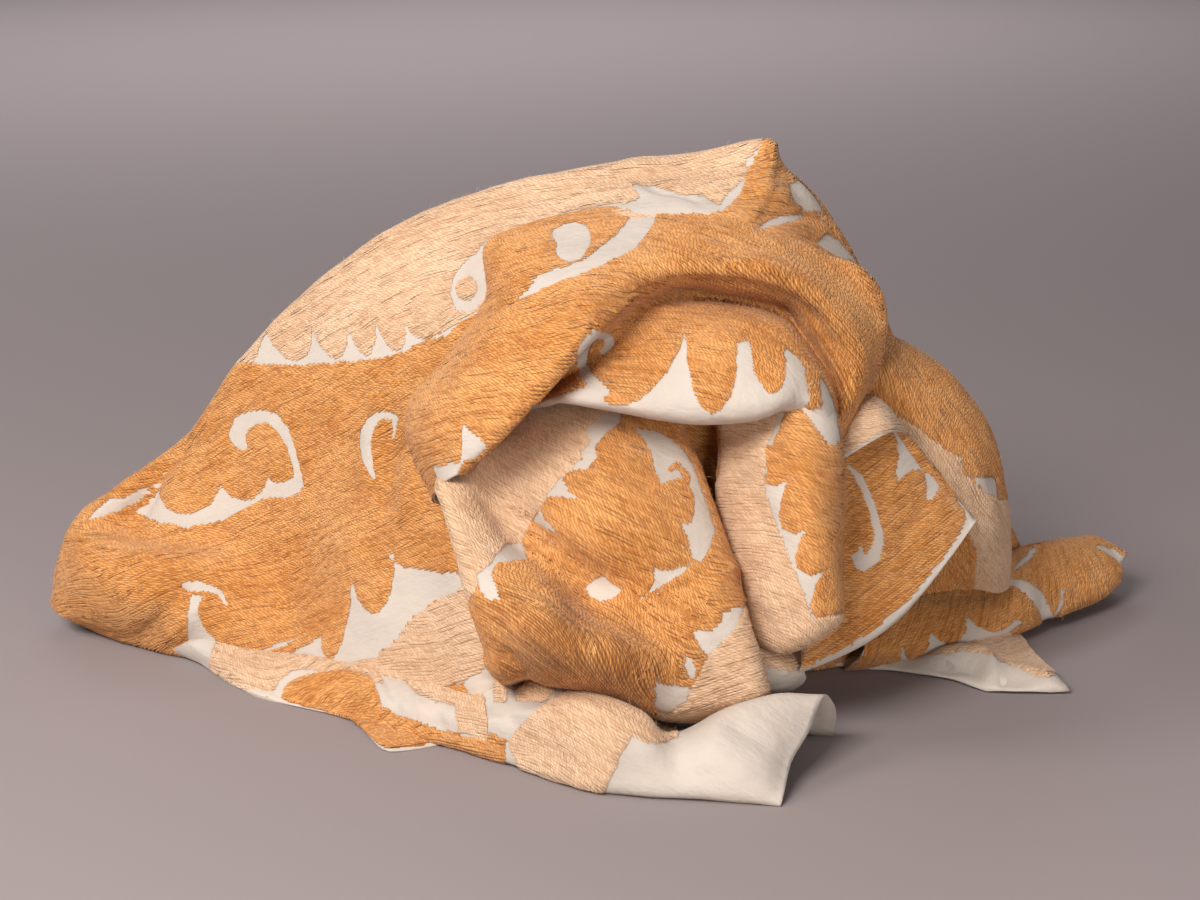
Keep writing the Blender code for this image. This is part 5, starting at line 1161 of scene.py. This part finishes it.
# ---- materials
class Nodes:
    """Short ways to build a material's nodes."""

    def __init__(self, name):
        self.material = bpy.data.materials.new(name)
        self.material.use_nodes = True
        self.tree = self.material.node_tree
        self.shader = self.tree.nodes["Principled BSDF"]

    def join(self, value, socket):
        if isinstance(value, bpy.types.NodeSocket):
            self.tree.links.new(value, socket)
        else:
            socket.default_value = value

    def attribute(self, name):
        node = self.tree.nodes.new("ShaderNodeAttribute")
        node.attribute_name = name
        return node

    def sum(self, how, *values, clamp=False):
        node = self.tree.nodes.new("ShaderNodeMath")
        node.operation = how
        node.use_clamp = clamp
        for i, value in enumerate(values):
            self.join(value, node.inputs[i])
        return node.outputs[0]

    def range(self, value, low, high, to_low=0.0, to_high=1.0, smooth=True):
        node = self.tree.nodes.new("ShaderNodeMapRange")
        node.interpolation_type = "SMOOTHSTEP" if smooth else "LINEAR"
        for i, v in enumerate((value, low, high, to_low, to_high)):
            self.join(v, node.inputs[i])
        return node.outputs[0]

    def mix(self, share, a, b, how="MIX"):
        node = self.tree.nodes.new("ShaderNodeMix")
        node.data_type = "RGBA"
        node.blend_type = how
        for i, v in zip((0, 6, 7), (share, a, b)):
            self.join(v, node.inputs[i])
        return node.outputs[2]

    def noise(self, vector, scale, detail=3.0, rough=0.55):
        node = self.tree.nodes.new("ShaderNodeTexNoise")
        self.join(vector, node.inputs["Vector"])
        node.inputs["Scale"].default_value = scale
        node.inputs["Detail"].default_value = detail
        node.inputs["Roughness"].default_value = rough
        return node.outputs[0]

    def white(self, vector):
        node = self.tree.nodes.new("ShaderNodeTexWhiteNoise")
        self.join(vector, node.inputs["Vector"])
        return node.outputs[0]

    def vector(self, x, y, z):
        node = self.tree.nodes.new("ShaderNodeCombineXYZ")
        for i, v in enumerate((x, y, z)):
            self.join(v, node.inputs[i])
        return node.outputs[0]

    def bump(self, strength, distance, height):
        node = self.tree.nodes.new("ShaderNodeBump")
        node.inputs["Strength"].default_value = strength
        node.inputs["Distance"].default_value = distance
        self.join(height, node.inputs["Height"])
        return node.outputs[0]


def rgba(colour, gain=1.0):
    return tuple(min(1.0, c * gain) for c in colour) + (1.0,)


def yarn_look(name, colour, light, dark, deep, strength):
    """Laid cotton yarn: each row its own tone, with painted shade between the rows, in the notches between stitches and
    in the ridge bump's hollows, and a painted highlight on the fibres; crossed by small slanting stitches.
    """
    n = Nodes(name)
    parts = n.tree.nodes.new("ShaderNodeSeparateXYZ")
    n.join(n.attribute("rows").outputs["Vector"], parts.inputs[0])
    along, across, seed = parts.outputs
    crest = n.attribute("crest").outputs["Fac"]
    number = n.sum("ROUND", n.sum("DIVIDE", across, ROW_PITCH))
    shade = n.white(n.vector(number, seed, 0.0))
    # small slanting stitches along each row, their lengths uneven
    uneven = n.noise(n.vector(n.sum("MULTIPLY", along, 120.0), n.sum("MULTIPLY", number, 3.7), seed), 1.0, 1.0)
    count = n.sum("ADD", n.sum("DIVIDE", along, STITCH), n.sum("MULTIPLY", shade, 7.0))
    count = n.sum("ADD", count, n.sum("MULTIPLY", uneven, 1.6))
    stitch = n.sum("FRACT", count)
    own = n.white(n.vector(number, n.sum("FLOOR", count), n.sum("ADD", seed, 0.5)))
    gap = n.sum("MULTIPLY", n.sum("ABSOLUTE", n.sum("SUBTRACT", stitch, 0.5)), 2.0)
    dash = n.range(gap, 0.40, 1.0, 1.0, 0.0)
    ridge = n.noise(n.vector(n.sum("MULTIPLY", along, 40.0), n.sum("MULTIPLY", across, 190.0), seed), 1.0, 3.0, 0.6)
    fuzz = n.noise(n.vector(n.sum("MULTIPLY", along, 500.0), n.sum("MULTIPLY", across, 900.0), seed), 1.0, 2.0, 0.7)
    patch = n.noise(n.vector(n.sum("MULTIPLY", along, 13.0), n.sum("MULTIPLY", across, 22.0), seed), 1.0, 3.0, 0.6)
    height = n.sum("ADD", n.sum("MULTIPLY", dash, 0.8), n.sum("MULTIPLY", fuzz, 0.55))
    height = n.sum("ADD", height, n.sum("MULTIPLY", ridge, 0.4))
    tone = n.mix(n.range(patch, 0.3, 0.7), rgba(colour), rgba(light))
    tone = n.mix(n.range(shade, 0.0, 1.0, 0.0, 0.35, False), tone, rgba(light, 1.10))
    tone = n.mix(n.range(shade, 0.0, 0.25, 0.30, 0.0, False), tone, rgba(dark))
    tone = n.mix(n.range(own, 0.55, 1.0, 0.0, 0.36), tone, rgba(light, 1.15))
    tone = n.mix(n.range(own, 0.0, 0.45, 0.42, 0.0), tone, rgba(dark))
    # Painted shade: darker in the notch where one stitch meets the next.
    tone = n.mix(n.range(gap, 0.50, 1.0, 0.0, 0.50), tone, rgba(dark))
    # Painted shade: darker where the ridge bump is lowest.
    tone = n.mix(n.range(ridge, 0.28, 0.46, 0.35, 0.0), tone, rgba(dark))
    # Painted shade: a low crest, at the rows' edges and on the bed, takes the deep colour.
    tone = n.mix(n.range(crest, 0.0, 0.58, 0.75, 0.0), tone, rgba(deep))
    # Painted highlight: a crest over 1, on the fibres, takes a lighter colour.
    tone = n.mix(n.range(crest, 1.0, 1.25, 0.0, 0.6), tone, rgba(light, 1.25))
    n.join(tone, n.shader.inputs["Base Color"])
    n.join(n.bump(strength, 0.0009, height), n.shader.inputs["Normal"])
    n.join(n.range(fuzz, 0.2, 0.8, 0.82, 0.96), n.shader.inputs["Roughness"])
    n.shader.inputs["Specular IOR Level"].default_value = 0.25
    n.shader.inputs["Sheen Weight"].default_value = 0.22
    n.shader.inputs["Sheen Roughness"].default_value = 0.45
    n.shader.inputs["Sheen Tint"].default_value = (1.0, 0.90, 0.80, 1.0)
    return n.material


def cotton_look(colour):
    """Off-white plain weave, slubbed and a little puckered, with faint soiling."""
    n = Nodes("plain_cotton")
    parts = n.tree.nodes.new("ShaderNodeSeparateXYZ")
    n.join(n.attribute("rows").outputs["Vector"], parts.inputs[0])
    along, across, seed = parts.outputs
    weft = n.sum("SINE", n.sum("MULTIPLY", along, 2 * math.pi / 0.0009))
    warp = n.sum("SINE", n.sum("MULTIPLY", across, 2 * math.pi / 0.0009))
    weave = n.sum("MULTIPLY", weft, warp)
    slub = n.noise(n.vector(n.sum("MULTIPLY", along, 60.0), n.sum("MULTIPLY", across, 700.0), seed), 1.0, 2.0)
    pucker = n.noise(n.vector(n.sum("MULTIPLY", along, 70.0), n.sum("MULTIPLY", across, 120.0), seed), 1.0, 3.0, 0.55)
    soil = n.noise(n.vector(n.sum("MULTIPLY", along, 18.0), n.sum("MULTIPLY", across, 18.0), seed), 1.0, 4.0, 0.6)
    height = n.sum("ADD", n.sum("MULTIPLY", weave, 0.05), n.sum("MULTIPLY", slub, 0.10))
    height = n.sum("ADD", height, n.sum("MULTIPLY", pucker, 1.4))
    tone = n.mix(n.range(soil, 0.45, 0.75, 0.0, 0.40), rgba(colour), rgba((0.72, 0.58, 0.46)))
    tone = n.mix(n.range(slub, 0.55, 0.75, 0.0, 0.25), tone, rgba(colour, 1.06))
    n.join(tone, n.shader.inputs["Base Color"])
    n.join(n.bump(0.6, 0.0020, height), n.shader.inputs["Normal"])
    n.shader.inputs["Roughness"].default_value = 0.88
    n.shader.inputs["Specular IOR Level"].default_value = 0.25
    n.shader.inputs["Sheen Weight"].default_value = 0.12
    return n.material


# ---- making it
tables, shelf, corner = {}, 0.0, [0.01, 0.01]
for name in FOLDS:
    table, (wide, tall) = tabled(name, (0.0, 0.0))
    if corner[0] + wide > LAYOUT - 0.01:
        corner, shelf = [0.01, corner[1] + shelf + 0.01], 0.0
    table[..., 16:18] += corner
    corner[0] += wide + 0.01
    shelf = max(shelf, tall)
    tables[name] = table

# Colours: own, light, dark, deep. The dark one is darker yarn and also the painted shade in notches and hollows; the
# deep one is only painted shade between the rows and on the bed; the light one also gives the fibres' painted
# highlight.
ochre_look = yarn_look("ochre_yarn_look", (0.585, 0.227, 0.045), (0.78, 0.385, 0.135), (0.335, 0.100, 0.014), (0.155, 0.042, 0.006), 0.8)
peach_look = yarn_look("peach_yarn_look", (0.64, 0.395, 0.232), (0.77, 0.540, 0.360), (0.48, 0.268, 0.138), (0.32, 0.160, 0.076), 0.6)
cloth = cotton(tables, cotton_look((0.590, 0.517, 0.448)))
beds = [yarn_bed("ochre_bed", "ochre", tables, ochre_look), yarn_bed("peach_bed", "peach", tables, peach_look)]
rows_laid = in_pieces("ochre_rows", strands("ochre", tables), ochre_look)
rows_laid += in_pieces("peach_rows", strands("peach", tables), peach_look)
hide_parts("suzani_cloth")
for ob in [cloth] + beds + rows_laid:
    print("FACES", ob.name, len(ob.data.polygons))

# ---- floor, light and camera
floor_mesh = bpy.data.meshes.new("floor")
floor_mesh.from_pydata([(-14, -8, 0), (14, -8, 0), (14, 20, 0), (-14, 20, 0)], [], [(0, 1, 2, 3)])
floor = bpy.data.objects.new("floor", floor_mesh)
bpy.context.scene.collection.objects.link(floor)
ground = Nodes("studio_floor")
ground.shader.inputs["Base Color"].default_value = (0.312, 0.267, 0.264, 1)
ground.shader.inputs["Roughness"].default_value = 0.95
ground.shader.inputs["Specular IOR Level"].default_value = 0.1
floor_mesh.materials.append(ground.material)


def lamp(name, place, aim, size, power, colour):
    data = bpy.data.lights.new(name, "AREA")
    data.shape = "RECTANGLE"
    data.size, data.size_y = size
    data.energy = power
    data.color = colour
    ob = bpy.data.objects.new(name, data)
    ob.location = place
    ob.rotation_euler = (Vector(aim) - Vector(place)).to_track_quat("-Z", "Y").to_euler()
    bpy.context.scene.collection.objects.link(ob)


lamp("key", (-0.90, -1.95, 1.67), (0.0, -0.05, 0.15), (1.1, 0.8), 65.0, (1.0, 0.965, 0.93))
lamp("side", (-2.4, -0.6, 2.3), (-1.0, -0.2, 0.0), (1.2, 1.2), 34.0, (1.0, 0.975, 0.95))
lamp("fill", (0.9, -2.6, 0.6), (0.1, 0.0, 0.2), (0.9, 0.5), 21.0, (1.0, 0.96, 0.92))
lamp("back", (-0.5, 6.0, 4.0), (-2.2, 7.0, 0.0), (6.5, 4.0), 280.0, (0.98, 0.97, 1.0))

world = bpy.data.worlds.new("studio")
world.use_nodes = True
world.node_tree.nodes["Background"].inputs[0].default_value = (0.80, 0.74, 0.78, 1)
world.node_tree.nodes["Background"].inputs[1].default_value = 0.25
bpy.context.scene.world = world
bpy.context.scene.view_settings.view_transform = "Standard"

lens = bpy.data.cameras.new("eye")
lens.sensor_width = 36.0
lens.lens = 75.0
eye = bpy.data.objects.new("eye", lens)
place = eye_place() - np.array([HEAP_MIDDLE[0], HEAP_MIDDLE[1], 0.0])
aim = np.array(AIM) - np.array([HEAP_MIDDLE[0], HEAP_MIDDLE[1], 0.0])
eye.location = place
eye.rotation_euler = Vector(aim - place).to_track_quat("-Z", "Y").to_euler()
bpy.context.scene.collection.objects.link(eye)
bpy.context.scene.camera = eye
